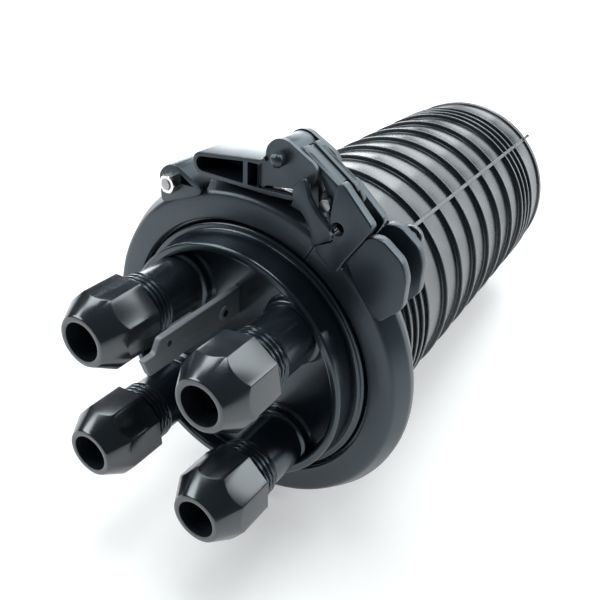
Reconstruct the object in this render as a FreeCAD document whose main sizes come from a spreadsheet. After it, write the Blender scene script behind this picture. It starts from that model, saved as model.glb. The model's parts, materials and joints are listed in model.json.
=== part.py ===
"""Dome splice closure: four gland ports, a ribbed dome, a hinged hoop clamp and its toggle latch.

Frame: millimetres, +Z up. The closure lies on the foot of its hoop, the dome points along +Y and the
cable glands along -Y. Every piece is drawn in the front view, with x to the right, y up and z towards
the glands, zero on the axis at the clamp line. Its Placement turns that view upright.
"""
import FreeCAD, Part
import math
import os
import Sketcher
from types import SimpleNamespace

Vector = FreeCAD.Vector
doc = FreeCAD.newDocument("DomeClosure")
sheet = doc.addObject("Spreadsheet::Sheet", "Sizes")


class Dim:
    """A size: its number now, and the sheet expression that gives it."""

    def __init__(self, text, value):
        self.text = text
        self.value = value

    def __add__(self, other):
        other = as_dim(other)
        return Dim(f"({self.text} + {other.text})", self.value + other.value)

    def __sub__(self, other):
        other = as_dim(other)
        return Dim(f"({self.text} - {other.text})", self.value - other.value)

    def __mul__(self, other):
        other = as_dim(other)
        return Dim(f"({self.text} * {other.text})", self.value * other.value)

    def __truediv__(self, other):
        other = as_dim(other)
        return Dim(f"({self.text} / {other.text})", self.value / other.value)

    def __neg__(self):
        return Dim(f"(0 - {self.text})", -self.value)

    def __rsub__(self, other):
        return as_dim(other) - self


def as_dim(value):
    """Take a Dim as it is, and a plain number as a constant."""
    if isinstance(value, Dim):
        return value
    return Dim(f"({value})", float(value))


def sine(angle):
    return Dim(f"sin({angle.text} * 1deg)", math.sin(math.radians(angle.value)))


def cosine(angle):
    return Dim(f"cos({angle.text} * 1deg)", math.cos(math.radians(angle.value)))


# Driving sizes, in millimetres and degrees
SIZES = {
    "gap": 0.3,
    "groove_clear": 1.0,
    # Hoop clamp: a channel ring that holds the two flanges
    "hoop_crest_radius": 105.5,
    "hoop_shoulder_drop": 5.0,
    "hoop_face_drop": 6.5,
    "hoop_wall": 7.5,
    "front_grip": 12.5,
    "rear_grip": 10.0,
    "hoop_width": 26.0,
    "hoop_front": 1.0,
    "hoop_edge": 1.5,
    "hoop_lip": 4.4,
    "crest_width": 4.0,
    "split_angle": 27.5,
    # Flanges and their seal
    "flange_thickness": 7.6,
    "seal_thickness": 1.6,
    "seal_inset": 4.0,
    "seal_width": 7.0,
    # Dome cover
    "dome_lip_clear": 5.6,
    "dome_taper": 0.0227,
    "dome_length": 341.0,
    "dome_wall": 3.5,
    "dome_crown": 9.0,
    "rib_height": 3.3,
    "rib_width": 2.6,
    "first_rib": 57.0,
    "fine_rib_pitch": 9.0,
    "first_wide_rib": 114.7,
    "wide_rib_pitch": 27.5,
    "end_rim_width": 5.0,
    "spine_angle": 42.4,
    "spine_width": 2.6,
    "spine_tab": 3.0,
    "eye_width": 16.0,
    "eye_reach": 12.0,
    "eye_thickness": 4.0,
    "eye_hole_radius": 4.0,
    "eye_place": 46.0,
    # Port base
    "collar_clear": 2.5,
    "collar_step": 4.0,
    "boss_draft": 1.7,
    "boss_height": 17.8,
    "boss_wall": 5.3,
    "boss_floor": 8.0,
    "boss_plate": 5.0,
    "lip_round": 1.8,
    "cup_wall": 4.0,
    # Gland ports
    "port_side_inset": 37.9,
    "port_top_inset": 37.3,
    "port_roll": 3.4,
    "spigot_radius": 17.2,
    "spigot_length": 66.0,
    "spigot_root_radius": 19.5,
    "spigot_root_height": 6.0,
    "cable_bore_radius": 11.2,
    "seal_pocket_radius": 14.5,
    "seal_pocket_depth": 18.0,
    "nut_flats": 43.0,
    "nut_thread_radius": 18.8,
    "nut_length": 36.0,
    "nut_back": 55.0,
    "nut_mouth_radius": 14.5,
    "nut_cone_slope": 0.63,
    "nut_mouth_depth": 14.0,
    "washer_radius": 17.6,
    # Hanger fin between the upper glands
    "fin_thickness": 4.0,
    "fin_low": 31.0,
    "fin_high": 49.0,
    "fin_step_height": 42.0,
    "fin_step": 73.0,
    "fin_front": 86.0,
    "fin_hole_radius": 1.7,
    "fin_hole_place": 67.0,
    "fin_hole_height": 43.0,
    "fin_ring_place": 22.0,
    "fin_ring_height": 39.0,
    "fin_ring_radius": 4.5,
    "fin_ring_bore": 2.2,
    "fin_ring_proud": 1.2,
    # Toggle latch
    "lever_front": 3.0,
    "lever_cheek": 4.0,
    "lever_wall": 2.5,
    "cheek_recess": 1.6,
    "cheek_slot": 2.6,
    "handle_reach": 82.7,
    "root_before_pin": 7.0,
    "handle_clear": 1.1,
    "handle_tip_height": 13.4,
    "handle_root_height": 18.9,
    "handle_rib": 3.0,
    "rib_before_root": 16.0,
    "handle_slot": 6.5,
    "handle_pocket": 20.0,
    "lever_boss_radius": 10.0,
    "fulcrum_back": 11.7,
    "fulcrum_rise": 18.5,
    "fulcrum_radius": 7.0,
    "fulcrum_pin_radius": 2.5,
    "block_disc_radius": 4.6,
    "block_width": 8.0,
    "link_pin_back": 25.7,
    "link_pin_rise": 22.5,
    "link_pin_radius": 3.0,
    "pin_head_radius": 3.7,
    "pin_head": 7.2,
    "link_arm": 4.0,
    "link_eye_radius": 9.4,
    "strike_ahead": 1.3,
    "strike_rise": 4.5,
    "strike_pin_radius": 3.3,
    "strike_web_radius": 7.0,
    "strike_wall": 5.8,
    "strike_front": 5.2,
    "strike_hole_radius": 3.8,
    "shoulder_wall": 6.2,
    "shoulder_inset": 2.4,
    "guard_back": 3.3,
    "guard_thickness": 4.0,
    "nose_clearance": 3.4,
    "link_nose": 4.0,
    "link_arch": 7.8,
    "link_top": 11.3,
    "link_bridge": 1.8,
    "lock_beyond": 0.7,
    "lock_rise": -8.5,
    "lock_bolt_radius": 3.0,
    "lock_nut_flats": 10.0,
    "lock_nut_height": 5.0,
    # Hoop hinge and foot
    "hinge_inset": 1.0,
    "knuckle_radius": 6.5,
    "knuckle_length": 12.0,
    "hinge_pin_radius": 3.0,
    "foot_half_width": 18.0,
    # Splice trays and their bracket
    "bracket_width": 92.0,
    "bracket_drop": 10.0,
    "bracket_length": 285.0,
    "bracket_sheet": 2.0,
    "bracket_side": 12.0,
    "bracket_foot": 16.0,
    "bracket_foot_width": 40.0,
    "tray_width": 84.0,
    "tray_length": 190.0,
    "tray_height": 10.0,
    "tray_wall": 1.8,
    "tray_start": 70.0,
    "screw_radius": 2.5,
    "screw_head_radius": 4.5,
    "screw_head": 3.0,
    "screw_spread": 12.0,
    "screw_bite": 3.0,
    "clamp_spread": 20.0,
    "clamp_width": 20.0,
    "clamp_height": 8.0,
    "clamp_length": 14.0,
    "clamp_place": 34.0,
    "strap_width": 14.0,
    "strap_thickness": 1.5,
}


def fill_sheet():
    """Write every driving size to the sheet and return them by name."""
    named = {}
    for row, (alias, number) in enumerate(SIZES.items(), start=1):
        sheet.set(f"A{row}", alias)
        sheet.set(f"B{row}", str(number))
        sheet.setAlias(f"B{row}", alias)
        named[alias] = Dim(f"Sizes.{alias}", number)
    doc.recompute()
    return SimpleNamespace(**named)


S = fill_sheet()
# Radii that follow the hoop's crest, from the hoop inwards
crest = S.hoop_crest_radius
hoop_shoulder_radius = crest - S.hoop_shoulder_drop
hoop_face_radius = crest - S.hoop_face_drop
groove_radius = crest - S.hoop_wall
flange_radius = groove_radius - S.groove_clear
hoop_lip_radius = flange_radius - S.front_grip
hoop_rear_lip_radius = flange_radius - S.rear_grip
seal_outer_radius = flange_radius - S.seal_inset
seal_inner_radius = seal_outer_radius - S.seal_width
dome_root_radius = hoop_rear_lip_radius - S.dome_lip_clear
collar_radius = hoop_lip_radius - S.collar_clear
boss_root_radius = collar_radius - S.collar_step
boss_rim_radius = boss_root_radius - S.boss_draft
cup_radius = boss_root_radius - S.cup_wall
port_half_width = boss_rim_radius - S.port_side_inset
port_half_height = boss_rim_radius - S.port_top_inset
# Places that follow the hoop's crest and its split, in the front view
split_x = crest * sine(S.split_angle)
fulcrum_x = split_x - S.fulcrum_back
link_pin_x = split_x - S.link_pin_back
strike_x = split_x + S.strike_ahead
lock_x = -split_x - S.lock_beyond
handle_end = split_x - S.handle_reach
handle_root = link_pin_x - S.root_before_pin
handle_rib_place = handle_root - S.rib_before_root
hinge_drop = crest - S.hinge_inset
axis_height = hinge_drop + S.knuckle_radius
handle_low = crest + S.handle_clear
handle_tip_high = handle_low + S.handle_tip_height
handle_root_high = handle_low + S.handle_root_height
fulcrum_y = crest + S.fulcrum_rise
link_pin_y = crest + S.link_pin_rise
strike_y = crest + S.strike_rise
lock_y = crest + S.lock_rise
# Shift that puts the middle of the overall length at zero
mid_shift = -(S.dome_length + S.dome_crown - S.nut_back - S.nut_length) / 2
TRAYS = 3
# How far each gland nut is turned on its port, in degrees
NUT_TURNS = (0.0, 9.2, 4.0, 1.9)
UPRIGHT = FreeCAD.Rotation(Vector(1, 0, 0), 90)
NODES = []


def place(piece, label, x=0.0, y=0.0, turn=0.0):
    """Stand a piece upright at a front-view place, turned about its own axis, as a node."""
    x = as_dim(x)
    height = axis_height + y
    spin = FreeCAD.Rotation(Vector(0, 0, 1), as_dim(turn).value)
    base = Vector(x.value, mid_shift.value, height.value)
    piece.Placement = FreeCAD.Placement(base, UPRIGHT.multiply(spin))
    piece.setExpression("Placement.Base.x", x.text)
    piece.setExpression("Placement.Base.y", mid_shift.text)
    piece.setExpression("Placement.Base.z", height.text)
    piece.Label = label
    NODES.append(piece)
    return piece


def bind(feature, **values):
    """Tie properties of a feature to the sheet."""
    for key, value in values.items():
        feature.setExpression(key, as_dim(value).text)


def sketch_on(body, role, lift=0.0):
    """New sketch on one of the body's own origin planes, lifted along its normal."""
    sketch = body.newObject("Sketcher::SketchObject", "outline")
    plane = next(item for item in body.Origin.OriginFeatures if item.Role == role)
    sketch.AttachmentSupport = [(plane, "")]
    sketch.MapMode = "FlatFace"
    lift = as_dim(lift)
    sketch.AttachmentOffset = FreeCAD.Placement(Vector(0, 0, lift.value), FreeCAD.Rotation())
    sketch.setExpression("AttachmentOffset.Base.z", lift.text)
    return sketch


def tie(sketch, kind, item, point, value):
    """Hold one coordinate of a sketch point at a sheet value."""
    index = sketch.addConstraint(Sketcher.Constraint(kind, -1, 1, item, point, value.value))
    sketch.setExpression(f"Constraints[{index}]", value.text)


def polygon(sketch, points):
    """Closed straight-sided outline through tied points."""
    points = [(as_dim(u), as_dim(v)) for u, v in points]
    corners = [Vector(u.value, v.value, 0) for u, v in points]
    count = len(points)
    lines = [Part.LineSegment(corners[i], corners[(i + 1) % count]) for i in range(count)]
    first = sketch.addGeometry(lines, False)[0]
    for i in range(count):
        sketch.addConstraint(Sketcher.Constraint("Coincident", first + i, 2, first + (i + 1) % count, 1))
    for i, (u, v) in enumerate(points):
        tie(sketch, "DistanceX", first + i, 1, u)
        tie(sketch, "DistanceY", first + i, 1, v)


def circle(sketch, x, y, radius):
    """Circle with its centre and radius tied to the sheet."""
    x, y, radius = as_dim(x), as_dim(y), as_dim(radius)
    item = sketch.addGeometry(Part.Circle(Vector(x.value, y.value, 0), Vector(0, 0, 1), radius.value), False)
    tie(sketch, "DistanceX", item, 3, x)
    tie(sketch, "DistanceY", item, 3, y)
    index = sketch.addConstraint(Sketcher.Constraint("Radius", item, radius.value))
    sketch.setExpression(f"Constraints[{index}]", radius.text)


def new_body(name):
    return doc.addObject("PartDesign::Body", name)


def spin_profile(body, points, kind="Revolution"):
    """Turn a radius and height outline about the body's z axis, adding or cutting."""
    sketch = sketch_on(body, "XZ_Plane")
    polygon(sketch, points)
    feature = body.newObject(f"PartDesign::{kind}", kind.lower())
    feature.Profile = sketch
    feature.ReferenceAxis = (sketch, ["V_Axis"])
    feature.Angle = 360
    doc.recompute()
    return feature


def pad(body, draw, low, high, role="XY_Plane"):
    """Add the drawn outline between two heights."""
    low, high = as_dim(low), as_dim(high)
    sketch = sketch_on(body, role, low)
    draw(sketch)
    feature = body.newObject("PartDesign::Pad", "pad")
    feature.Profile = sketch
    bind(feature, Length=high - low)
    doc.recompute()
    return feature


def cut(body, draw, high, low, role="XY_Plane"):
    """Remove the drawn outline from a height down to a lower one."""
    low, high = as_dim(low), as_dim(high)
    before = body.Shape.Volume
    sketch = sketch_on(body, role, high)
    draw(sketch)
    feature = body.newObject("PartDesign::Pocket", "pocket")
    feature.Profile = sketch
    bind(feature, Length=high - low)
    doc.recompute()
    if not body.Shape.Volume < before:
        raise RuntimeError(f"{body.Name}: a cut removed nothing")
    return feature


def plate(points):
    """Drawing function for a straight-sided outline."""
    return lambda sketch: polygon(sketch, points)


def disc(x, y, radius):
    """Drawing function for a circle."""
    return lambda sketch: circle(sketch, x, y, radius)


def ring(name, inner, outer, low, high):
    """Plain turned ring as a body."""
    body = new_body(name)
    spin_profile(body, [(inner, low), (outer, low), (outer, high), (inner, high)])
    return body


def block(name, x, y, z, width, height, depth):
    """Box from a corner in the front view."""
    box = doc.addObject("Part::Box", name)
    bind(box, Length=width, Width=height, Height=depth)
    box.setExpression("Placement.Base.x", as_dim(x).text)
    box.setExpression("Placement.Base.y", as_dim(y).text)
    box.setExpression("Placement.Base.z", as_dim(z).text)
    return box


def rod(name, x, y, z, radius, length):
    """Cylinder along z from a centre in the front view."""
    bar = doc.addObject("Part::Cylinder", name)
    bind(bar, Radius=radius, Height=length)
    bar.setExpression("Placement.Base.x", as_dim(x).text)
    bar.setExpression("Placement.Base.y", as_dim(y).text)
    bar.setExpression("Placement.Base.z", as_dim(z).text)
    return bar


def joined(name, shapes):
    fuse = doc.addObject("Part::MultiFuse", name)
    fuse.Shapes = shapes
    return fuse


def without(name, base, tool):
    difference = doc.addObject("Part::Cut", name)
    difference.Base = base
    difference.Tool = tool
    return difference


# Heights along the axis that several pieces share
hoop_rear = S.hoop_front - S.hoop_width
groove_front = S.hoop_front - S.hoop_lip
flange_face = groove_front - S.gap
base_flange_back = flange_face - S.flange_thickness
dome_flange_face = base_flange_back - S.seal_thickness
dome_flange_back = dome_flange_face - S.flange_thickness
groove_rear = dome_flange_back - S.gap
hoop_middle = (S.hoop_front + hoop_rear) / 2
spigot_front = S.boss_floor + S.spigot_length
plate_back = S.boss_floor - S.boss_plate
bed_low = -S.bracket_drop
bed_top = bed_low + S.bracket_sheet
foot_screw_y = bed_low - S.bracket_foot / 2
screw_places = [-S.screw_spread, S.screw_spread]
clamp_places = [-S.clamp_spread, S.clamp_spread]
clamp_bolt_z = plate_back - S.clamp_place - S.clamp_length / 2
tray_x = -(S.tray_width / 2)
tray_z = plate_back - S.tray_start - S.tray_length


def wall_radius(depth):
    """Outer radius of the bare dome wall at a distance behind the clamp line."""
    return dome_root_radius - S.dome_taper * (depth + dome_flange_back)


def rib_places():
    """Distances of every ring rib behind the clamp line: fine, wide, then fine again."""
    near = [S.first_rib + S.fine_rib_pitch * i for i in range(4)]
    wide = [S.first_wide_rib + S.wide_rib_pitch * i for i in range(7)]
    far = [wide[-1] + S.fine_rib_pitch * (i + 1) for i in range(3)]
    return near + wide + far


def build_dome():
    """Ribbed dome with its flange, spine, end tab and tie eye."""
    body = new_body("dome")
    end = S.dome_length
    outer = [(flange_radius, dome_flange_face), (flange_radius, dome_flange_back)]
    outer.append((wall_radius(-dome_flange_back), dome_flange_back))
    for depth in rib_places():
        back = depth + S.rib_width
        outer.append((wall_radius(depth), -depth))
        outer.append((wall_radius(depth) + S.rib_height, -depth))
        outer.append((wall_radius(back) + S.rib_height, -back))
        outer.append((wall_radius(back), -back))
    rim = end - S.end_rim_width
    outer.append((wall_radius(rim), -rim))
    outer.append((wall_radius(rim) + S.rib_height / 2, -rim))
    outer.append((wall_radius(end) + S.rib_height / 2, -end))
    crown_edge = wall_radius(end) - S.dome_wall * 2
    outer.append((crown_edge, -(end + S.dome_crown * 0.7)))
    outer.append((0, -(end + S.dome_crown)))
    inner = [(0, -(end + S.dome_crown - S.dome_wall))]
    inner.append((crown_edge - S.dome_wall, -(end + S.dome_crown * 0.7 - S.dome_wall)))
    inner.append((wall_radius(end) - S.dome_wall, -(end - S.dome_wall)))
    inner.append((wall_radius(-dome_flange_back) - S.dome_wall, dome_flange_face))
    spin_profile(body, outer + inner)
    half = S.spine_width / 2
    spine_start = S.first_wide_rib - S.wide_rib_pitch
    low_start = wall_radius(spine_start) - S.dome_wall / 2
    low_end = wall_radius(end) - S.dome_wall / 2
    top_start = wall_radius(spine_start) + S.rib_height
    top_end = wall_radius(end) + S.rib_height
    tab_top = top_end + S.spine_tab / 2
    tab_back = end - S.end_rim_width * 2
    spine = [(low_start, -spine_start), (top_start, -spine_start), (top_end, -tab_back),
             (tab_top, -tab_back), (tab_top, -(end + S.spine_tab)), (low_end, -(end + S.spine_tab / 2))]
    pad(body, plate(spine), -half, half, "XZ_Plane")
    eye_centre = wall_radius(S.eye_place) + S.eye_reach - S.eye_width / 2
    reach = S.eye_width / 2
    root = wall_radius(S.eye_place) - S.dome_wall / 2
    eye_back = -(S.eye_place + S.eye_thickness)
    pad(body, plate([(root, -reach), (eye_centre, -reach), (eye_centre, reach), (root, reach)]),
        eye_back, -S.eye_place)
    pad(body, disc(eye_centre, 0, reach), eye_back, -S.eye_place)
    cut(body, disc(eye_centre + 1, 0, S.eye_hole_radius), -S.eye_place + 1, eye_back - 1)
    place(body, "dome_cover", turn=90 - S.spine_angle)


def port_places():
    """Front-view centres of the four ports: upper left, upper right, lower left, lower right."""
    places = []
    for up in (1, -1):
        for right in (-1, 1):
            x = port_half_width * right
            y = port_half_height * up
            turned_x = cosine(S.port_roll) * x + sine(S.port_roll) * y
            turned_y = cosine(S.port_roll) * y - sine(S.port_roll) * x
            places.append((turned_x, turned_y))
    return places


def build_base():
    """Port base: flange, collar, raised cup, four spigots and the hanger fin."""
    body = new_body("base")
    rim_inner = boss_rim_radius - S.boss_wall
    spin_profile(body, [
        (0, S.boss_floor), (rim_inner, S.boss_floor), (rim_inner, S.boss_height - S.lip_round),
        (rim_inner + S.lip_round, S.boss_height), (boss_rim_radius - S.lip_round, S.boss_height),
        (boss_rim_radius, S.boss_height - S.lip_round), (boss_root_radius, 0), (collar_radius, 0),
        (collar_radius, flange_face), (flange_radius, flange_face), (flange_radius, base_flange_back),
        (cup_radius, base_flange_back), (cup_radius, plate_back), (0, plate_back)])
    for x, y in port_places():
        pad(body, disc(x, y, S.spigot_root_radius), plate_back, S.boss_floor + S.spigot_root_height)
        pad(body, disc(x, y, S.spigot_radius), plate_back, spigot_front)
    half = S.fin_thickness / 2
    fin = [(plate_back, S.fin_low), (plate_back, S.fin_high), (S.fin_step, S.fin_high),
           (S.fin_step + S.fin_thickness, S.fin_step_height), (S.fin_front, S.fin_step_height),
           (S.fin_front - S.fin_thickness, S.fin_low)]
    side = [(y, z) for z, y in fin]
    pad(body, plate(side), -half, half, "YZ_Plane")
    pad(body, disc(S.fin_ring_height, S.fin_ring_place, S.fin_ring_radius),
        -half - S.fin_ring_proud, half + S.fin_ring_proud, "YZ_Plane")
    beyond = half + S.fin_ring_proud + 1
    cut(body, disc(S.fin_ring_height, S.fin_ring_place, S.fin_ring_bore), beyond, -beyond, "YZ_Plane")
    cut(body, disc(S.fin_hole_height, S.fin_hole_place, S.fin_hole_radius), beyond, -beyond, "YZ_Plane")
    for x, y in port_places():
        cut(body, disc(x, y, S.cable_bore_radius + S.gap), spigot_front + 1, plate_back - 1)
        cut(body, disc(x, y, S.seal_pocket_radius), spigot_front + 1, spigot_front - S.seal_pocket_depth)
    for x in screw_places:
        cut(body, disc(x, foot_screw_y, S.screw_radius), plate_back + S.screw_bite, plate_back - 1)
    place(body, "port_base")


def hoop_ring(name):
    """Whole channel ring of the hoop clamp."""
    body = new_body(name)
    crest_front = hoop_middle + S.crest_width / 2
    crest_rear = hoop_middle - S.crest_width / 2
    spin_profile(body, [
        (hoop_lip_radius, S.hoop_front), (hoop_face_radius, S.hoop_front),
        (hoop_shoulder_radius, S.hoop_front - S.hoop_edge), (S.hoop_crest_radius, crest_front),
        (S.hoop_crest_radius, crest_rear), (hoop_shoulder_radius, hoop_rear + S.hoop_edge),
        (hoop_face_radius, hoop_rear), (hoop_rear_lip_radius, hoop_rear),
        (hoop_rear_lip_radius, groove_rear), (groove_radius, groove_rear), (groove_radius, groove_front),
        (hoop_lip_radius, groove_front)])
    return body


def sector(side):
    """Front-view area of one side of the hoop, from the split round to the hinge, left or right."""
    reach = S.hoop_crest_radius * 2
    gap = -S.gap * side
    start = (cosine(S.split_angle) * gap, -(sine(S.split_angle) * gap))
    tip = (start[0] + sine(S.split_angle) * reach, start[1] + cosine(S.split_angle) * reach)
    return [start, tip, (reach * side, reach), (reach * side, -reach), (gap, -reach), (gap, 0)]


hinge_y = -hinge_drop
knuckle_front = hoop_middle + S.knuckle_length / 2
knuckle_rear = hoop_middle - S.knuckle_length / 2
hinge_clear = S.knuckle_radius + S.gap + 0.2
lever_rear = S.lever_front - S.hoop_width
lever_middle = (S.lever_front + lever_rear) / 2
block_front = lever_middle + S.block_width / 2
block_rear = lever_middle - S.block_width / 2

# Outlines around the latch, as front-view steps from the lock bolt, the split's foot and the strike pin
LOCK_LUG = [(-9, -15), (-10, 3.5), (-4, 9.5), (3.4, 11), (21.4, 1.5), (20.4, -3)]
LOCK_WINDOW = [(6.4, 1), (6.4, 6.5), (15.4, 1.2)]
STEM_FOOT = [(-22, 8), (0, 0), (-2, 14)]
STEM_TOP = [(4, -2.5), (-4.5, -1.5)]
STRIKE_WALL = [(-3.5, -24.5), (4, -10), (6.5, 12), (10, 16), (29, -3), (25.5, -9), (14.5, -26), (10.5, -34)]
STRIKE_SHOULDER = [(14.5, -26), (25.5, -9), (33, -8.5), (44.8, -17), (48.5, -26), (48.2, -42.6),
                   (36.3, -54.7), (30, -50), (22, -40)]
STRIKE_WEB = [(1.5, -21), (-7, 0), (7, 0), (12, -26)]
STRIKE_HOLE = (9.5, -9)
GUARD_HOOK = [(-3.5, -22), (-4.6, -16), (-5.6, -12.5), (-8.3, -7.7), (-14, -1.6), (-16, 1), (-16.8, 6.3),
              (-14.2, 10.2), (-9.8, 13.8), (-6.6, 3.8), (-1.5, -3), (7.5, -10), (8, -15)]
GUARD_FOOT = [(-3.2, -23), (-1, -11), (7.5, -10), (8, -17)]


def stepped(x, y, steps):
    """Outline points given as steps from one place."""
    return [(x + right, y + up) for right, up in steps]


def clear_groove(body):
    """Cut the flange channel again where a block reaches into it."""
    spin_profile(body, [(hoop_lip_radius, groove_rear), (groove_radius, groove_rear),
                        (groove_radius, groove_front), (hoop_lip_radius, groove_front)], "Groove")


def add_foot(body, side):
    """Flat foot beside the hinge, on one side of the hoop's lowest point."""
    floor = -axis_height
    outer = S.foot_half_width * side
    points = [(S.gap * side, floor), (outer, floor), (outer, floor + S.knuckle_radius * 2),
              (S.gap * side, floor + S.knuckle_radius * 2)]
    pad(body, plate(points), hoop_rear + S.hoop_edge, S.hoop_front - S.hoop_edge)


def build_left_half():
    """Fixed hoop half with the lock lug, the lever's fulcrum block and the middle knuckle."""
    body = hoop_ring("left_half")
    cut(body, plate(sector(1)), S.hoop_front + 1, hoop_rear - 1)
    add_foot(body, -1)
    pad(body, plate(stepped(lock_x, lock_y, LOCK_LUG)), lever_rear, S.lever_front)
    cut(body, plate(stepped(lock_x, lock_y, LOCK_WINDOW)), S.lever_front + 1, lever_rear - 1)
    cut(body, disc(lock_x, lock_y, S.lock_bolt_radius + S.gap), S.lever_front + 1, lever_rear - 1)
    foot_radius = flange_radius
    foot_x = foot_radius * sine(S.split_angle) - S.gap * 2
    foot_y = foot_radius * cosine(S.split_angle)
    stem = stepped(foot_x, foot_y, STEM_FOOT) + stepped(fulcrum_x, fulcrum_y, STEM_TOP)
    pad(body, plate(stem), block_rear, block_front)
    pad(body, disc(fulcrum_x, fulcrum_y, S.block_disc_radius), block_rear, block_front)
    cut(body, disc(fulcrum_x, fulcrum_y, S.fulcrum_pin_radius), block_front + 1, block_rear - 1)
    clear_groove(body)
    pad(body, disc(0, hinge_y, S.knuckle_radius), knuckle_rear, knuckle_front)
    cut(body, disc(0, hinge_y, hinge_clear), S.hoop_front + 1, knuckle_front)
    cut(body, disc(0, hinge_y, hinge_clear), knuckle_rear, hoop_rear - 1)
    cut(body, disc(0, hinge_y, S.hinge_pin_radius), S.hoop_front + 1, hoop_rear - 1)
    place(body, "hoop_left_half")


def build_right_half():
    """Swinging hoop half with the strike block, the guard hook and the two outer knuckles."""
    body = hoop_ring("right_half")
    cut(body, plate(sector(-1)), S.hoop_front + 1, hoop_rear - 1)
    add_foot(body, 1)
    x, y = strike_x, strike_y
    wall = stepped(x, y, STRIKE_WALL)
    shoulder = stepped(x, y, STRIKE_SHOULDER)
    slot_front = S.strike_front - S.strike_wall
    wall_rear = lever_middle * 2 - S.strike_front
    slot_rear = wall_rear + S.strike_wall
    pad(body, plate(wall), slot_front, S.strike_front)
    pad(body, plate(wall), wall_rear, slot_rear)
    shoulder_front = S.strike_front - S.shoulder_inset
    shoulder_rear = wall_rear + S.shoulder_inset
    pad(body, plate(shoulder), shoulder_front - S.shoulder_wall, shoulder_front)
    pad(body, plate(shoulder), shoulder_rear, shoulder_rear + S.shoulder_wall)
    guard_front = S.guard_back + S.guard_thickness
    pad(body, plate(stepped(x, y, GUARD_HOOK)), S.guard_back, guard_front)
    pad(body, plate(stepped(x, y, GUARD_FOOT)), S.hoop_front - 1, S.strike_front)
    web = stepped(x, y, STRIKE_WEB)
    pad(body, plate(web), block_rear, block_front)
    pad(body, disc(x, y, S.strike_web_radius), block_rear, block_front)
    cut(body, disc(x, y, S.strike_pin_radius), block_front + 1, block_rear - 1)
    hole_x, hole_y = stepped(x, y, [STRIKE_HOLE])[0]
    cut(body, disc(hole_x, hole_y, S.strike_hole_radius), S.strike_front + 1, slot_front - 1)
    clear_groove(body)
    pad(body, disc(0, hinge_y, S.knuckle_radius), knuckle_front + S.gap, S.hoop_front - S.hoop_edge)
    pad(body, disc(0, hinge_y, S.knuckle_radius), hoop_rear + S.hoop_edge, knuckle_rear - S.gap)
    cut(body, disc(0, hinge_y, hinge_clear), knuckle_front + S.gap, knuckle_rear - S.gap)
    cut(body, disc(0, hinge_y, S.hinge_pin_radius + S.gap), S.hoop_front + 1, hoop_rear - 1)
    place(body, "hoop_right_half")


def build_lever():
    """Hollow lever: an open-fronted handle, two cheeks and the link pin bosses."""
    body = new_body("lever")
    low, high = handle_low, handle_tip_high
    tip_radius = (high - low) / 2
    tip_x = handle_end + tip_radius
    handle = [(tip_x, low), (handle_root, low), (handle_root, handle_root_high), (tip_x, high)]
    pad(body, plate(handle), lever_rear, S.lever_front)
    pad(body, disc(tip_x, low + tip_radius, tip_radius), lever_rear, S.lever_front)
    cheek = [(handle_root - 1, low), (fulcrum_x - 3, low + 2),
             (fulcrum_x + S.fulcrum_radius, fulcrum_y),
             (fulcrum_x + 2, fulcrum_y + S.fulcrum_radius - 0.5), (link_pin_x + 3, link_pin_y + 8),
             (handle_root - 1, handle_root_high)]
    for back, front in ((S.lever_front - S.lever_cheek, S.lever_front),
                        (lever_rear, lever_rear + S.lever_cheek)):
        pad(body, plate(cheek), back, front)
        pad(body, disc(fulcrum_x, fulcrum_y, S.fulcrum_radius), back, front)
        pad(body, disc(link_pin_x, link_pin_y, S.lever_boss_radius), back, front)
    wall = S.lever_wall
    face = S.lever_front - S.cheek_recess
    seat = S.link_eye_radius + S.gap
    cut(body, disc(link_pin_x, link_pin_y, seat), S.lever_front - S.lever_cheek, lever_rear + S.lever_cheek)
    slot_left = handle_rib_place + S.handle_rib + S.handle_slot
    rim_right = fulcrum_x - 3.5
    rim_high = low + wall + 1.4
    beyond = fulcrum_x * 2
    recess = [(slot_left, low + wall), (rim_right, rim_high), (rim_right, low - 5), (beyond, low - 5),
              (beyond, link_pin_y + 15), (handle_root - 4, link_pin_y + 15), (handle_root - 4, link_pin_y),
              (handle_root - 1.5, handle_root_high - 1.5), (slot_left, handle_root_high - wall - 0.9)]
    cut(body, plate(recess), S.lever_front + 1, face)
    slot_right = rim_right - 2
    slot = [(slot_left + 2, low + wall + 0.3), (slot_right, rim_high), (slot_right, rim_high + S.cheek_slot),
            (slot_left + 4, low + wall + 1.8)]
    cut(body, plate(slot), S.lever_front + 1, S.lever_front - S.lever_cheek - 1)
    tip_pocket = [(tip_x, low + wall), (handle_rib_place, low + wall),
                  (handle_rib_place, high + 1.5), (tip_x, high - wall)]
    rib_right = handle_rib_place + S.handle_rib
    root_pocket = [(rib_right, low + wall), (slot_left, low + wall),
                   (slot_left, handle_root_high - wall - 0.9), (rib_right, high + 1.8)]
    pocket_floor = S.lever_front - S.handle_pocket
    cut(body, plate(tip_pocket), S.lever_front + 1, pocket_floor)
    cut(body, disc(tip_x, low + tip_radius, tip_radius - wall), S.lever_front + 1, pocket_floor)
    cut(body, plate(root_pocket), S.lever_front + 1, pocket_floor)
    cut(body, disc(fulcrum_x, fulcrum_y, S.fulcrum_pin_radius + S.gap), S.lever_front + 1, lever_rear - 1)
    cut(body, disc(link_pin_x, link_pin_y, S.link_pin_radius), S.lever_front + 1, lever_rear - 1)
    place(body, "latch_lever")


run_x = strike_x - link_pin_x
run_y = strike_y - link_pin_y
link_length = Dim(f"sqrt({run_x.text}^2 + {run_y.text}^2)", math.hypot(run_x.value, run_y.value))


def link_point(along, out):
    """Front-view point given along the line from link pin to strike pin, and out from it."""
    unit_x, unit_y = run_x / link_length, run_y / link_length
    along, out = as_dim(along), as_dim(out)
    x = strike_x + unit_x * along - unit_y * out
    y = strike_y + unit_y * along + unit_x * out
    return x, y


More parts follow.
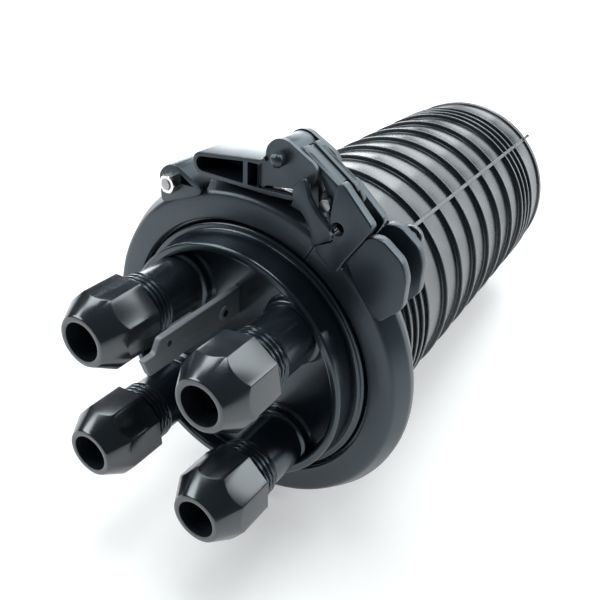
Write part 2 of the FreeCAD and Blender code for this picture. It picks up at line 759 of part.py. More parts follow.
def build_link():
    """Toggle link: a hub, two arms that arch over the fulcrum and hook on the strike pin, and their bridge."""
    body = new_body("link")
    seat = S.strike_pin_radius + S.gap * 2
    nose = S.strike_pin_radius + S.nose_clearance
    arch, top = S.link_arch, S.link_top
    start = -link_length
    tip = nose + S.link_nose
    arm = [link_point(start, 6.5), link_point(start + 5.5, top), link_point(2, top), link_point(tip, 7),
           link_point(tip, -2), link_point(nose, -2), link_point(nose, seat), link_point(-6, seat),
           link_point(-12, arch), link_point(start + 8.5, arch), link_point(start + 4.5, -5)]
    front = S.lever_front - S.lever_cheek - S.gap
    rear = lever_rear + S.lever_cheek + S.gap
    for low, high in ((front - S.link_arm, front), (rear, rear + S.link_arm)):
        pad(body, plate(arm), low, high)
    pad(body, disc(link_pin_x, link_pin_y, S.link_eye_radius), rear, front)
    bridge_low = top - S.link_bridge
    bridge = [link_point(start + 7.5, bridge_low), link_point(start + 7.5, top), link_point(-4, top),
              link_point(-4, bridge_low)]
    pad(body, plate(bridge), rear, front)
    cut(body, disc(link_pin_x, link_pin_y, S.link_pin_radius + S.gap), front + 1, rear - 1)
    place(body, "latch_link")


def build_pin(label, x, y, rear, front, radius, head=False):
    """Plain pin along the closure's axis, with a flat head at the front where it has one."""
    body = new_body(f"{label}_body")
    front = as_dim(front)
    pad(body, disc(x, y, radius), rear, front)
    if head:
        pad(body, disc(x, y, S.pin_head_radius), front, front + S.pin_head)
    place(body, label)


def hexagon(x, y, flats):
    """Corners of a hexagon with flats above and below."""
    corner = flats / 1.7320508
    half = corner / 2
    rise = flats / 2
    return [(x - corner, y), (x - half, y - rise), (x + half, y - rise), (x + corner, y),
            (x + half, y + rise), (x - half, y + rise)]


def build_latch_pins():
    """Pins of the latch and hinge, and the lock bolt with its nut."""
    build_pin("hoop_hinge_pin", 0, hinge_y, hoop_rear + S.hoop_edge, S.hoop_front - S.hoop_edge,
              S.hinge_pin_radius)
    build_pin("lever_fulcrum_pin", fulcrum_x, fulcrum_y, lever_rear, S.lever_front - S.cheek_recess,
              S.fulcrum_pin_radius)
    build_pin("lever_link_pin", link_pin_x, link_pin_y, lever_rear, S.lever_front - S.cheek_recess,
              S.link_pin_radius, head=True)
    reach = S.lever_cheek + S.gap
    build_pin("strike_pin", strike_x, strike_y, lever_rear + reach, S.guard_back - S.gap,
              S.strike_pin_radius)
    lock_hex = plate(hexagon(lock_x, lock_y, S.lock_nut_flats))
    nut_front = S.lever_front + S.lock_nut_height
    bolt = new_body("lock_bolt_body")
    pad(bolt, disc(lock_x, lock_y, S.lock_bolt_radius), lever_rear, nut_front + 1)
    pad(bolt, lock_hex, lever_rear - S.lock_nut_height + 1, lever_rear)
    place(bolt, "lock_bolt")
    nut = new_body("lock_nut_body")
    pad(nut, lock_hex, S.lever_front, nut_front)
    cut(nut, disc(lock_x, lock_y, S.lock_bolt_radius), nut_front + 1, S.lever_front - 1)
    place(nut, "lock_nut")


def octagon(flats):
    """Corners of an octagon about the origin, with flats above and below."""
    half = flats / 2
    short = half * (math.sqrt(2) - 1)
    return [(short, -half), (half, -short), (half, short), (short, half),
            (-short, half), (-half, short), (-half, -short), (-short, -half)]


def build_gland(number, x, y, turn):
    """One port's nut, thrust washer and cable seal."""
    nut = new_body(f"nut_{number}")
    mouth = S.nut_back + S.nut_length
    shoulder = mouth - S.nut_mouth_depth
    pad(nut, plate(octagon(S.nut_flats)), S.nut_back, mouth)
    past = S.nut_flats * 0.6
    cone = [(S.nut_mouth_radius, mouth), (past, mouth - (past - S.nut_mouth_radius) / S.nut_cone_slope),
            (past, mouth + 1), (S.nut_mouth_radius, mouth + 1)]
    spin_profile(nut, cone, "Groove")
    cut(nut, disc(0, 0, S.cable_bore_radius), mouth + 1, S.nut_back - 1)
    cut(nut, disc(0, 0, S.nut_thread_radius), shoulder, S.nut_back - 1)
    place(nut, f"gland_nut_{number}", x, y, turn)
    back = spigot_front + S.gap
    passage = S.cable_bore_radius + S.gap
    washer = ring(f"washer_{number}", passage, S.washer_radius, back, shoulder - S.gap)
    place(washer, f"gland_washer_{number}", x, y)
    seal = ring(f"seal_{number}", passage, S.seal_pocket_radius, spigot_front - S.seal_pocket_depth,
                spigot_front)
    place(seal, f"gland_seal_{number}", x, y)


def rod_up(name, x, y, z, radius, length):
    """Cylinder standing along the front view's y."""
    bar = rod(name, x, y, z, radius, length)
    bar.Placement.Rotation = FreeCAD.Rotation(Vector(1, 0, 0), -90)
    return bar


def group(name, shapes):
    """Separate like pieces that share one node."""
    compound = doc.addObject("Part::Compound", name)
    compound.Links = shapes
    return compound


def rectangle(left, low, width, height):
    """Corners of an upright rectangle in the front view."""
    left, low = as_dim(left), as_dim(low)
    return [(left, low), (left + width, low), (left + width, low + height), (left, low + height)]


def build_bracket():
    """Folded sheet bracket that carries the trays, with its screws into the base."""
    left = -(S.bracket_width / 2)
    start = plate_back - S.bracket_length
    foot = block("bracket_foot", -(S.bracket_foot_width / 2), bed_low - S.bracket_foot,
                 plate_back - S.bracket_sheet, S.bracket_foot_width, S.bracket_foot + S.bracket_sheet,
                 S.bracket_sheet)
    bed = block("bracket_bed", left, bed_low, start, S.bracket_width, S.bracket_sheet, S.bracket_length)
    sides = [block(f"bracket_side_{k}", edge, bed_low, start, S.bracket_sheet, S.bracket_side,
                   S.bracket_length - S.tray_start)
             for k, edge in enumerate((left, -left - S.bracket_sheet))]
    sheet_metal = joined("bracket_sheet_metal", [foot, bed] + sides)
    holes = [rod(f"foot_hole_{k}", x, foot_screw_y, plate_back - S.bracket_sheet * 2, S.screw_radius,
                 S.bracket_sheet * 3) for k, x in enumerate(screw_places)]
    holes += [rod_up(f"bed_hole_{k}", x, bed_low - S.bracket_sheet, clamp_bolt_z, S.screw_radius,
                     S.bracket_sheet * 3) for k, x in enumerate(clamp_places)]
    place(without("drilled_bracket", sheet_metal, joined("bracket_holes", holes)), "tray_bracket")
    screws = []
    for k, x in enumerate(screw_places):
        head_z = plate_back - S.bracket_sheet - S.screw_head
        head = rod(f"screw_head_{k}", x, foot_screw_y, head_z, S.screw_head_radius, S.screw_head)
        shank = rod(f"screw_shank_{k}", x, foot_screw_y, head_z, S.screw_radius,
                    S.screw_head + S.bracket_sheet + S.screw_bite)
        screws.append(joined(f"screw_{k}", [head, shank]))
    place(group("screws", screws), "bracket_screws")


def build_clamps():
    """Strength member clamps on the bracket, with their bolts."""
    saddles = []
    bolts = []
    saddle_z = clamp_bolt_z - S.clamp_length / 2
    for k, x in enumerate(clamp_places):
        saddle = block(f"saddle_{k}", x - S.clamp_width / 2, bed_top, saddle_z, S.clamp_width, S.clamp_height,
                       S.clamp_length)
        hole = rod_up(f"saddle_hole_{k}", x, bed_low, clamp_bolt_z, S.screw_radius, S.clamp_height * 2)
        saddles.append(without(f"drilled_saddle_{k}", saddle, hole))
        shank = rod_up(f"bolt_shank_{k}", x, bed_low, clamp_bolt_z, S.screw_radius,
                       S.bracket_sheet + S.clamp_height + S.screw_head)
        head = rod_up(f"bolt_head_{k}", x, bed_top + S.clamp_height, clamp_bolt_z, S.screw_head_radius,
                      S.screw_head)
        bolts.append(joined(f"clamp_bolt_{k}", [shank, head]))
    place(group("saddles", saddles), "strength_clamps")
    place(group("clamp_bolts", bolts), "strength_clamp_bolts")


def build_trays():
    """Stack of splice trays on the bracket, their lid and the strap that holds them down."""
    for k in range(TRAYS):
        low = bed_top + S.tray_height * k
        outer = block(f"tray_outer_{k}", tray_x, low, tray_z, S.tray_width, S.tray_height, S.tray_length)
        well = block(f"tray_well_{k}", tray_x + S.tray_wall, low + S.tray_wall, tray_z + S.tray_wall,
                     S.tray_width - S.tray_wall * 2, S.tray_height, S.tray_length - S.tray_wall * 2)
        place(without(f"tray_{k}", outer, well), f"splice_tray_{k + 1}")
    lid_low = bed_top + S.tray_height * TRAYS
    lid = new_body("lid")
    pad(lid, plate(rectangle(tray_x, lid_low, S.tray_width, S.tray_wall)), tray_z, tray_z + S.tray_length)
    place(lid, "tray_lid")
    strap = new_body("strap")
    wrap_x = -(S.bracket_width / 2)
    wrap_height = S.bracket_sheet + S.tray_height * TRAYS + S.tray_wall
    thick = S.strap_thickness
    strap_z = tray_z + S.tray_length / 2
    pad(strap, plate(rectangle(wrap_x - thick, bed_low - thick, S.bracket_width + thick * 2,
                               wrap_height + thick * 2)), strap_z, strap_z + S.strap_width)
    cut(strap, plate(rectangle(wrap_x, bed_low, S.bracket_width, wrap_height)), strap_z + S.strap_width + 1,
        strap_z - 1)
    place(strap, "tray_strap")


def build_seal():
    """Flat ring seal between the two flanges."""
    place(ring("flange_gasket", seal_inner_radius, seal_outer_radius, dome_flange_face, base_flange_back),
          "flange_seal")


def check_and_write():
    """Stop on any failed feature, then write each node's solid."""
    doc.recompute()
    for item in doc.Objects:
        if "Invalid" in item.State or "Error" in item.State:
            raise RuntimeError(f"{item.Name} failed: {item.State}")
    os.makedirs("parts", exist_ok=True)
    for node in NODES:
        shape = node.Shape
        if shape.isNull() or not shape.isValid() or not shape.Solids:
            raise RuntimeError(f"{node.Label}: no valid solid")
        shape.exportStep(f"parts/{node.Label}.step")
        print(f"{node.Label}: {len(shape.Solids)} solid(s), {shape.Volume / 1000:.1f} cm3")


build_dome()
build_base()
build_seal()
build_left_half()
build_right_half()
build_lever()
build_link()
build_latch_pins()
for port, (port_x, port_y) in enumerate(port_places()):
    build_gland(port + 1, port_x, port_y, NUT_TURNS[port])
build_bracket()
build_clamps()
build_trays()
check_and_write()
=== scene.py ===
"""Visual model of a dome splice closure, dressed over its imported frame.

Meshes are drawn in the front view: x to the right, y up and z towards the cable glands, in millimetres,
with zero on the closure's axis at the clamp line. FRONT turns that view upright and into metres.
"""
import json
import logging
import math
from collections.abc import Callable
from dataclasses import dataclass
from enum import Enum

import bmesh
import bpy
from mathutils import Matrix, Vector


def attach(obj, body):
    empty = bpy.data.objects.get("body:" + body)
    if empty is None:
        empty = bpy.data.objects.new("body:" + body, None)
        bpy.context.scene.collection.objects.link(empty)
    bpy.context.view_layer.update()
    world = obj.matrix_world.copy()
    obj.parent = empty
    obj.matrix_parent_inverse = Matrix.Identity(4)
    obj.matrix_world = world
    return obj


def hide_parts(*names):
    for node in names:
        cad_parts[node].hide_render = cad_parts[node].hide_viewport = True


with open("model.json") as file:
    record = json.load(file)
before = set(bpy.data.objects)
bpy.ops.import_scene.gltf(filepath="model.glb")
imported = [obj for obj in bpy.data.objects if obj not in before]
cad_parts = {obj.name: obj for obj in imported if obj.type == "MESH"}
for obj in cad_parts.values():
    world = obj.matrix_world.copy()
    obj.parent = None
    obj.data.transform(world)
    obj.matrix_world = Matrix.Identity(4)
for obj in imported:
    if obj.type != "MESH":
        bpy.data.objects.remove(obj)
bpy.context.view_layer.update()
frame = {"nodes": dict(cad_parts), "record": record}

log = logging.getLogger("closure")

Point = tuple[float, float]
Outline = list[Point]
Socket = bpy.types.NodeSocket

MM = 0.001
AXIS_HEIGHT = 111.0
MID_SHIFT = -129.5
FRONT = Matrix(((MM, 0, 0, 0), (0, 0, -MM, MID_SHIFT * MM), (0, MM, 0, AXIS_HEIGHT * MM), (0, 0, 0, 1)))
UPRIGHT_PLATE = Matrix(((0, 0, 1, 0), (1, 0, 0, 0), (0, 1, 0, 0), (0, 0, 0, 1)))
SMOOTH_ANGLE = math.radians(38.0)
CUT_RIM = 0.1
THROUGH = (-40.0, 20.0)

FULCRUM: Point = (37.0, 124.0)
LINK_PIN: Point = (23.0, 128.0)
STRIKE: Point = (50.0, 110.0)
LOCK: Point = (-49.4, 97.0)
HINGE: Point = (0.0, -104.5)
HINGE_ENDS = (-23.5, -0.5)
LEVER_FRONT = 3.0
LEVER_REAR = -23.0

PORT_ROLL = math.radians(3.4)
PORT_UP = 39.0
PORT_RIGHT = 38.4
NUT_TURNS = (0.0, 9.2, 4.0, 1.9)


class Body(Enum):
    """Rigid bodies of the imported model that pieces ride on."""

    CLOSURE = "closure"
    RIGHT_HALF = "right_half"
    LEVER = "lever"
    LINK = "link"


class Slot(Enum):
    """Material slots of the record."""

    DOME = "dome"
    BASE = "base"
    HOOP = "hoop"
    LATCH = "latch"
    GLAND = "gland"
    GLAND_INNER = "gland_inner"
    SEAL = "seal"
    PIN = "pin_steel"
    NICKEL = "nickel"
    BRACKET = "bracket"
    TRAY = "tray"
    LID = "lid"
    STRAP = "strap"


def fillet(points: Outline, radius: float, steps: int = 4) -> Outline:
    """Round every corner of a closed outline.

    Args:
        points: Corners in order.
        radius: Size of the rounding, cut short where an edge is short.
        steps: Segments for each corner.

    Returns:
        The outline with each corner turned into a short curve.
    """
    rounded: Outline = []
    count = len(points)
    for i, corner in enumerate(points):
        here = Vector(corner)
        before = Vector(points[i - 1]) - here
        after = Vector(points[(i + 1) % count]) - here
        start = here + before.normalized() * min(radius, before.length * 0.45)
        end = here + after.normalized() * min(radius, after.length * 0.45)
        for k in range(steps + 1):
            s = k / steps
            spot = start * (1 - s) ** 2 + here * (2 * s * (1 - s)) + end * s ** 2
            rounded.append((spot.x, spot.y))
    return rounded


def signed_area(points: Outline) -> float:
    """Area of an outline, positive where it runs counter-clockwise.

    Args:
        points: Corners in order.

    Returns:
        The area.
    """
    total = 0.0
    for (ax, ay), (bx, by) in zip(points, points[1:] + points[:1]):
        total += ax * by - bx * ay
    return total / 2


def inset(points: Outline, distance: float) -> Outline:
    """Move a counter-clockwise outline inwards by a distance.

    Args:
        points: Corners in order.
        distance: How far each edge moves.

    Returns:
        The smaller outline.
    """
    moved: Outline = []
    count = len(points)
    for i, corner in enumerate(points):
        here = Vector(corner)
        arriving = (here - Vector(points[i - 1])).normalized()
        leaving = (Vector(points[(i + 1) % count]) - here).normalized()
        inward = Vector((-arriving.y - leaving.y, arriving.x + leaving.x))
        if inward.length < 1e-6:
            inward = Vector((-arriving.y, arriving.x))
        inward.normalize()
        spread = max(0.6, inward.dot(Vector((-arriving.y, arriving.x))))
        spot = here + inward * (distance / spread)
        moved.append((spot.x, spot.y))
    return moved


def arc(x: float, y: float, radius: float, first: float, step: float, count: int) -> Outline:
    """Points round a middle.

    Args:
        x: Place of the middle.
        y: Place of the middle.
        radius: Distance from the middle.
        first: Angle of the first point in degrees, counter-clockwise from the right.
        step: Angle from one point to the next.
        count: Number of points.

    Returns:
        The points in order.
    """
    turns = [math.radians(first + step * k) for k in range(count)]
    return [(x + radius * math.cos(turn), y + radius * math.sin(turn)) for turn in turns]


def round_outline(x: float, y: float, radius: float, steps: int = 40) -> Outline:
    """Circle as an outline."""
    return arc(x, y, radius, 0.0, 360.0 / steps, steps)


def regular(sides: int, flats: float, x: float = 0.0, y: float = 0.0, turn: float = 0.0) -> Outline:
    """Regular outline given across its flats, with a flat to the right before it is turned.

    Args:
        sides: Number of sides.
        flats: Size across the flats.
        x: Place of the middle.
        y: Place of the middle.
        turn: Turn in degrees, counter-clockwise.

    Returns:
        The corners.
    """
    corner = flats / 2 / math.cos(math.pi / sides)
    return arc(x, y, corner, turn + 180.0 / sides, 360.0 / sides, sides)


def divided(points: Outline, longest: float) -> Outline:
    """Add points along edges that are longer than a length.

    Args:
        points: Corners in order.
        longest: Longest edge left undivided.

    Returns:
        The outline with the added points.
    """
    out: Outline = []
    for (ax, ay), (bx, by) in zip(points, points[1:] + points[:1]):
        parts = max(1, math.ceil(math.hypot(bx - ax, by - ay) / longest))
        out += [(ax + (bx - ax) * k / parts, ay + (by - ay) * k / parts) for k in range(parts)]
    return out


class Shell:
    """Closed skins gathered into one mesh, in the front view and in millimetres."""

    def __init__(self) -> None:
        """Start with nothing."""
        self.mesh = bmesh.new()

    def skin(self, rings: list[list[Vector]], loop: bool = False) -> None:
        """Join a run of closed rings with quads.

        Args:
            rings: Rings of equally many points.
            loop: Whether the last ring joins the first; otherwise both ends are capped.
        """
        rows = [[self.mesh.verts.new(spot) for spot in ring] for ring in rings]
        count = len(rows[0])
        pairs = list(zip(rows, rows[1:]))
        if loop:
            pairs.append((rows[-1], rows[0]))
        for low, high in pairs:
            for i in range(count):
                j = (i + 1) % count
                self.mesh.faces.new((low[i], low[j], high[j], high[i]))
        if not loop:
            self.mesh.faces.new(rows[0][::-1])
            self.mesh.faces.new(rows[-1])

    def lathe(self, profile: Outline, steps: int = 96, x: float = 0.0, y: float = 0.0,
              start: float = 0.0, sweep: float = 360.0) -> None:
        """Turn a closed outline of radius and z about an axis towards the glands.

        Args:
            profile: Radius and z of each point.
            steps: Segments round the sweep.
            x: Place of the axis.
            y: Place of the axis.
            start: Angle of the first ring in degrees.
            sweep: Angle covered in degrees.
        """
        whole = sweep >= 360.0
        count = steps if whole else steps + 1
        rings = []
        for k in range(count):
            turn = math.radians(start + sweep * k / steps)
            across, up = math.cos(turn), math.sin(turn)
            rings.append([Vector((x + r * across, y + r * up, z)) for r, z in profile])
        self.skin(rings, loop=whole)

    def plate(self, outline: Outline, low: float, high: float, rim: float = 0.5, steps: int = 3,
              way: Matrix = Matrix.Identity(4)) -> None:
        """Thick plate with rounded rims.

        Args:
            outline: Edge of the plate.
            low: Lower face.
            high: Upper face.
            rim: Rounding of both rims.
            steps: Segments of the rounding.
            way: Turns the plate's own x, y and z into the front view.
        """
        if signed_area(outline) < 0:
            outline = outline[::-1]
        layers = []
        for k in range(steps + 1):
            turn = math.pi / 2 * k / steps
            layers.append((rim * (1 - math.sin(turn)), rim * (1 - math.cos(turn))))
        levels = [(gap, low + rise) for gap, rise in layers]
        levels += [(gap, high - rise) for gap, rise in layers[::-1]]
        rings = [[way @ Vector((px, py, z)) for px, py in inset(outline, gap)] for gap, z in levels]
        self.skin(rings)

    def cutting(self, outline: Outline, low: float, high: float,
                way: Matrix = Matrix.Identity(4)) -> None:
        """Plate with plain edges, for cutting."""
        self.plate(outline, low, high, CUT_RIM, 1, way)

    def rod(self, x: float, y: float, radius: float, low: float, high: float, rim: float = 0.4) -> None:
        """Round bar towards the glands with rounded ends."""
        self.plate(round_outline(x, y, radius), low, high, rim)

    def settle(self) -> None:
        """Merge what meets on the axis and point every face outwards."""
        bmesh.ops.remove_doubles(self.mesh, verts=self.mesh.verts, dist=1e-4)
        bmesh.ops.recalc_face_normals(self.mesh, faces=self.mesh.faces)

    def make(self, name: str) -> bpy.types.Object:
        """Turn the skins into an object standing in the frame.

        Args:
            name: Name of the object.

        Returns:
            The linked object, in metres.
        """
        self.settle()
        self.mesh.transform(FRONT)
        data = bpy.data.meshes.new(name)
        self.mesh.to_mesh(data)
        self.mesh.free()
        thing = bpy.data.objects.new(name, data)
        bpy.context.scene.collection.objects.link(thing)
        smooth(thing)
        return thing


def smooth(thing: bpy.types.Object) -> None:
    """Shade smooth, with sharp edges where faces meet at a wide angle."""
    thing.data.polygons.foreach_set("use_smooth", [True] * len(thing.data.polygons))
    thing.data.set_sharp_from_angle(angle=SMOOTH_ANGLE)


def carve(thing: bpy.types.Object, tool: Shell) -> None:
    """Cut a shell out of an object and keep the result as its mesh.

    Args:
        thing: Object to cut.
        tool: Shell to take away.
    """
    cutter = tool.make(f"{thing.name}_cutter")
    step = thing.modifiers.new("carve", "BOOLEAN")
    step.operation = "DIFFERENCE"
    step.solver = "EXACT"
    step.use_self = True
    step.object = cutter
    solid = bpy.data.meshes.new_from_object(thing.evaluated_get(bpy.context.evaluated_depsgraph_get()))
    thing.modifiers.clear()
    before = thing.data
    thing.data = solid
    bpy.data.meshes.remove(before)
    bpy.data.meshes.remove(cutter.data)
    smooth(thing)


class NodeSketch:
    """A node tree being wired, with short calls for the nodes the finishes use."""

    def __init__(self, tree: bpy.types.NodeTree) -> None:
        """Keep the tree."""
        self.tree = tree

    def add(self, kind: str, **values: object) -> bpy.types.Node:
        """Add a node and set its plain properties.

        Args:
            kind: Type of the node.
            values: Properties by name.

        Returns:
            The new node.
        """
        node = self.tree.nodes.new(kind)
        for key, value in values.items():
            setattr(node, key, value)
        return node

    def wire(self, source: Socket, target: Socket) -> None:
        """Join two sockets."""
        self.tree.links.new(source, target)

    def noise(self, place: Socket, scale: float, detail: float) -> Socket:
        """Noise over a place, as a factor.

        Args:
            place: Where the noise is read.
            scale: Scale of the noise.
            detail: Layers of finer noise.

        Returns:
            The factor.
        """
        node = self.add("ShaderNodeTexNoise")
        node.inputs["Scale"].default_value = scale
        node.inputs["Detail"].default_value = detail
        self.wire(place, node.inputs["Vector"])
        return node.outputs["Fac"]

    def math(self, operation: str, first: Socket, second: Socket | float) -> Socket:
        """Arithmetic on a socket and a second socket or number.

        Args:
            operation: Name of the operation.
            first: First value.
            second: Second value, or a plain number.

        Returns:
            The result.
        """
        node = self.add("ShaderNodeMath", operation=operation)
        self.wire(first, node.inputs[0])
        if isinstance(second, Socket):
            self.wire(second, node.inputs[1])
        else:
            node.inputs[1].default_value = second
        return node.outputs[0]

    def spread(self, value: Socket, low: float, high: float, to_low: float, to_high: float) -> Socket:
        """Map a range of values onto another, held at both ends.

        Args:
            value: Value to map.
            low: Low end of the range.
            high: High end of the range.
            to_low: Result at the low end.
            to_high: Result at the high end.

        Returns:
            The result.
        """
        node = self.add("ShaderNodeMapRange")
        self.wire(value, node.inputs["Value"])
        numbers = {"From Min": low, "From Max": high, "To Min": to_low, "To Max": to_high}
        for name, number in numbers.items():
            node.inputs[name].default_value = number
        return node.outputs["Result"]


def new_group(name: str, inputs: dict[str, float], outputs: list[str]) -> bpy.types.NodeTree:
    """Empty shader node group with a place input, number inputs and number outputs.

    Args:
        name: Name of the group.
        inputs: Number inputs with their defaults.
        outputs: Number outputs.

    Returns:
        The group's node tree.
    """
    tree = bpy.data.node_groups.new(name, "ShaderNodeTree")
    tree.interface.new_socket("Place", in_out="INPUT", socket_type="NodeSocketVector")
    for key, value in inputs.items():
        socket = tree.interface.new_socket(key, in_out="INPUT", socket_type="NodeSocketFloat")
        socket.default_value = value
    for key in outputs:
        tree.interface.new_socket(key, in_out="OUTPUT", socket_type="NodeSocketFloat")
    return tree


FLOW_STRETCH = (1.0, 0.12, 1.0)
FLOW_SCALE = 55.0
PATCH_SCALE = 24.0
BREAK_SCALE = 140.0
RAMP_ENDS = (0.3, 0.7)
BUMP_STRENGTH = 0.6


def moulded_skin_group() -> bpy.types.NodeTree:
    """Fine grain, flow streaks and handling marks of a moulded surface.

    Returns:
        The group's node tree.
    """
    tree = new_group("moulded_skin", {"Grain Scale": 900.0, "Roughness": 0.3, "Roughness Spread": 0.12},
                     ["Tone", "Roughness", "Height"])
    sketch = NodeSketch(tree)
    entry = sketch.add("NodeGroupInput")
    leave = sketch.add("NodeGroupOutput")
    place = entry.outputs["Place"]
    grain = sketch.add("ShaderNodeTexNoise")
    grain.inputs["Detail"].default_value = 4.0
    sketch.wire(place, grain.inputs["Vector"])
    sketch.wire(entry.outputs["Grain Scale"], grain.inputs["Scale"])
    stretch = sketch.add("ShaderNodeMapping")
    stretch.inputs["Scale"].default_value = FLOW_STRETCH
    sketch.wire(place, stretch.inputs["Vector"])
    flow = sketch.noise(stretch.outputs["Vector"], FLOW_SCALE, 5.0)
    patches = sketch.noise(place, PATCH_SCALE, 4.0)
    tone = sketch.math("ADD", sketch.math("MULTIPLY", flow, 0.5), sketch.math("MULTIPLY", patches, 0.5))
    sketch.wire(tone, leave.inputs["Tone"])
    rub = sketch.spread(patches, 0.35, 0.7, -0.5, 0.5)
    rough = sketch.math("ADD", entry.outputs["Roughness"],
                        sketch.math("MULTIPLY", rub, entry.outputs["Roughness Spread"]))
    sketch.wire(rough, leave.inputs["Roughness"])
    height = sketch.math("ADD", sketch.math("MULTIPLY", grain.outputs["Fac"], 0.7),
                         sketch.math("MULTIPLY", flow, 0.3))
    sketch.wire(height, leave.inputs["Height"])
    return tree


def worn_and_highlit_edge_group() -> bpy.types.NodeTree:
    """Mask of the outer edges that handling polishes, where the lighter edge colour is partly wear and
    partly a painted highlight.

    Returns:
        The group's node tree.
    """
    tree = new_group("worn_and_highlit_edge", {"Start": 0.53, "End": 0.6}, ["Mask"])
    sketch = NodeSketch(tree)
    entry = sketch.add("NodeGroupInput")
    leave = sketch.add("NodeGroupOutput")
    shape = sketch.add("ShaderNodeNewGeometry")
    edge = sketch.add("ShaderNodeMapRange")
    sketch.wire(shape.outputs["Pointiness"], edge.inputs["Value"])
    sketch.wire(entry.outputs["Start"], edge.inputs["From Min"])
    sketch.wire(entry.outputs["End"], edge.inputs["From Max"])
    breaks = sketch.noise(entry.outputs["Place"], BREAK_SCALE, 4.0)
    broken = sketch.spread(breaks, 0.35, 0.65, 0.25, 1.0)
    sketch.wire(sketch.math("MULTIPLY", edge.outputs["Result"], broken), leave.inputs["Mask"])
    return tree


class Groups:
    """Shader node groups that several finishes share."""

    def __init__(self) -> None:
        """Build each group once."""
        self.skin = moulded_skin_group()
        self.edge = worn_and_highlit_edge_group()


@dataclass(frozen=True)
class Finish:
    """A moulded, rubber or metal finish.

    Attributes:
        name: Name of the material.
        colour: Base colour.
        wear_and_highlight: Colour of rubbed edges, lightened to paint a highlight along them as well as
            wear.
        roughness: Middle roughness.
        spread: How far the roughness wanders.
        metallic: One for metal.
        grain: Scale of the fine grain.
        bump: Depth of the grain in metres.
        tone: How far the colour wanders.
        shine: Strength of the mirror-like part.
        shine_colour: Colour of the mirror-like part where the surface faces the eye.
    """

    name: str
    colour: tuple[float, float, float]
    wear_and_highlight: tuple[float, float, float]
    roughness: float
    spread: float = 0.1
    metallic: float = 0.0
    grain: float = 900.0
    bump: float = 0.00004
    tone: float = 0.25
    shine: float = 0.5
    shine_colour: tuple[float, float, float] = (1.0, 1.0, 1.0)

    def build(self, groups: Groups) -> bpy.types.Material:
        """Make the material.

        Args:
            groups: Shared node groups.

        Returns:
            The finished material.
        """
        material = bpy.data.materials.new(self.name)
        material.use_nodes = True
        sketch = NodeSketch(material.node_tree)
        shader = material.node_tree.nodes["Principled BSDF"]
        place = sketch.add("ShaderNodeTexCoord").outputs["Object"]
        skin = sketch.add("ShaderNodeGroup", node_tree=groups.skin)
        skin.inputs["Grain Scale"].default_value = self.grain
        skin.inputs["Roughness"].default_value = self.roughness
        skin.inputs["Roughness Spread"].default_value = self.spread
        sketch.wire(place, skin.inputs["Place"])
        edge = sketch.add("ShaderNodeGroup", node_tree=groups.edge)
        sketch.wire(place, edge.inputs["Place"])
        ramp = sketch.add("ShaderNodeValToRGB")
        levels = (1 - self.tone, 1 + self.tone)
        for end, spot, level in zip(ramp.color_ramp.elements, RAMP_ENDS, levels):
            end.position = spot
            end.color = (*[part * level for part in self.colour], 1.0)
        sketch.wire(skin.outputs["Tone"], ramp.inputs["Fac"])
        # Outer edges take the lighter edge colour: part rubbed wear, part painted highlight.
        mix = sketch.add("ShaderNodeMix", data_type="RGBA")
        for socket in mix.inputs:
            if socket.type == "RGBA" and socket.name == "A":
                sketch.wire(ramp.outputs["Color"], socket)
            if socket.type == "RGBA" and socket.name == "B":
                socket.default_value = (*self.wear_and_highlight, 1.0)
            if socket.type == "VALUE" and socket.name == "Factor" and socket.enabled:
                sketch.wire(edge.outputs["Mask"], socket)
        colour = next(socket for socket in mix.outputs if socket.type == "RGBA")
        sketch.wire(colour, shader.inputs["Base Color"])
        sketch.wire(skin.outputs["Roughness"], shader.inputs["Roughness"])
        shader.inputs["Metallic"].default_value = self.metallic
        shader.inputs["Specular IOR Level"].default_value = self.shine
        shader.inputs["Specular Tint"].default_value = (*self.shine_colour, 1.0)
        bump = sketch.add("ShaderNodeBump")
        bump.inputs["Distance"].default_value = self.bump
        bump.inputs["Strength"].default_value = BUMP_STRENGTH
        sketch.wire(skin.outputs["Height"], bump.inputs["Height"])
        sketch.wire(bump.outputs["Normal"], shader.inputs["Normal"])
        return material


# Tints of the mirror-like part of the black mouldings.
BLUE_BLACK = (0.74, 0.9, 1.0)
COOL_BLACK = (0.92, 0.975, 1.0)
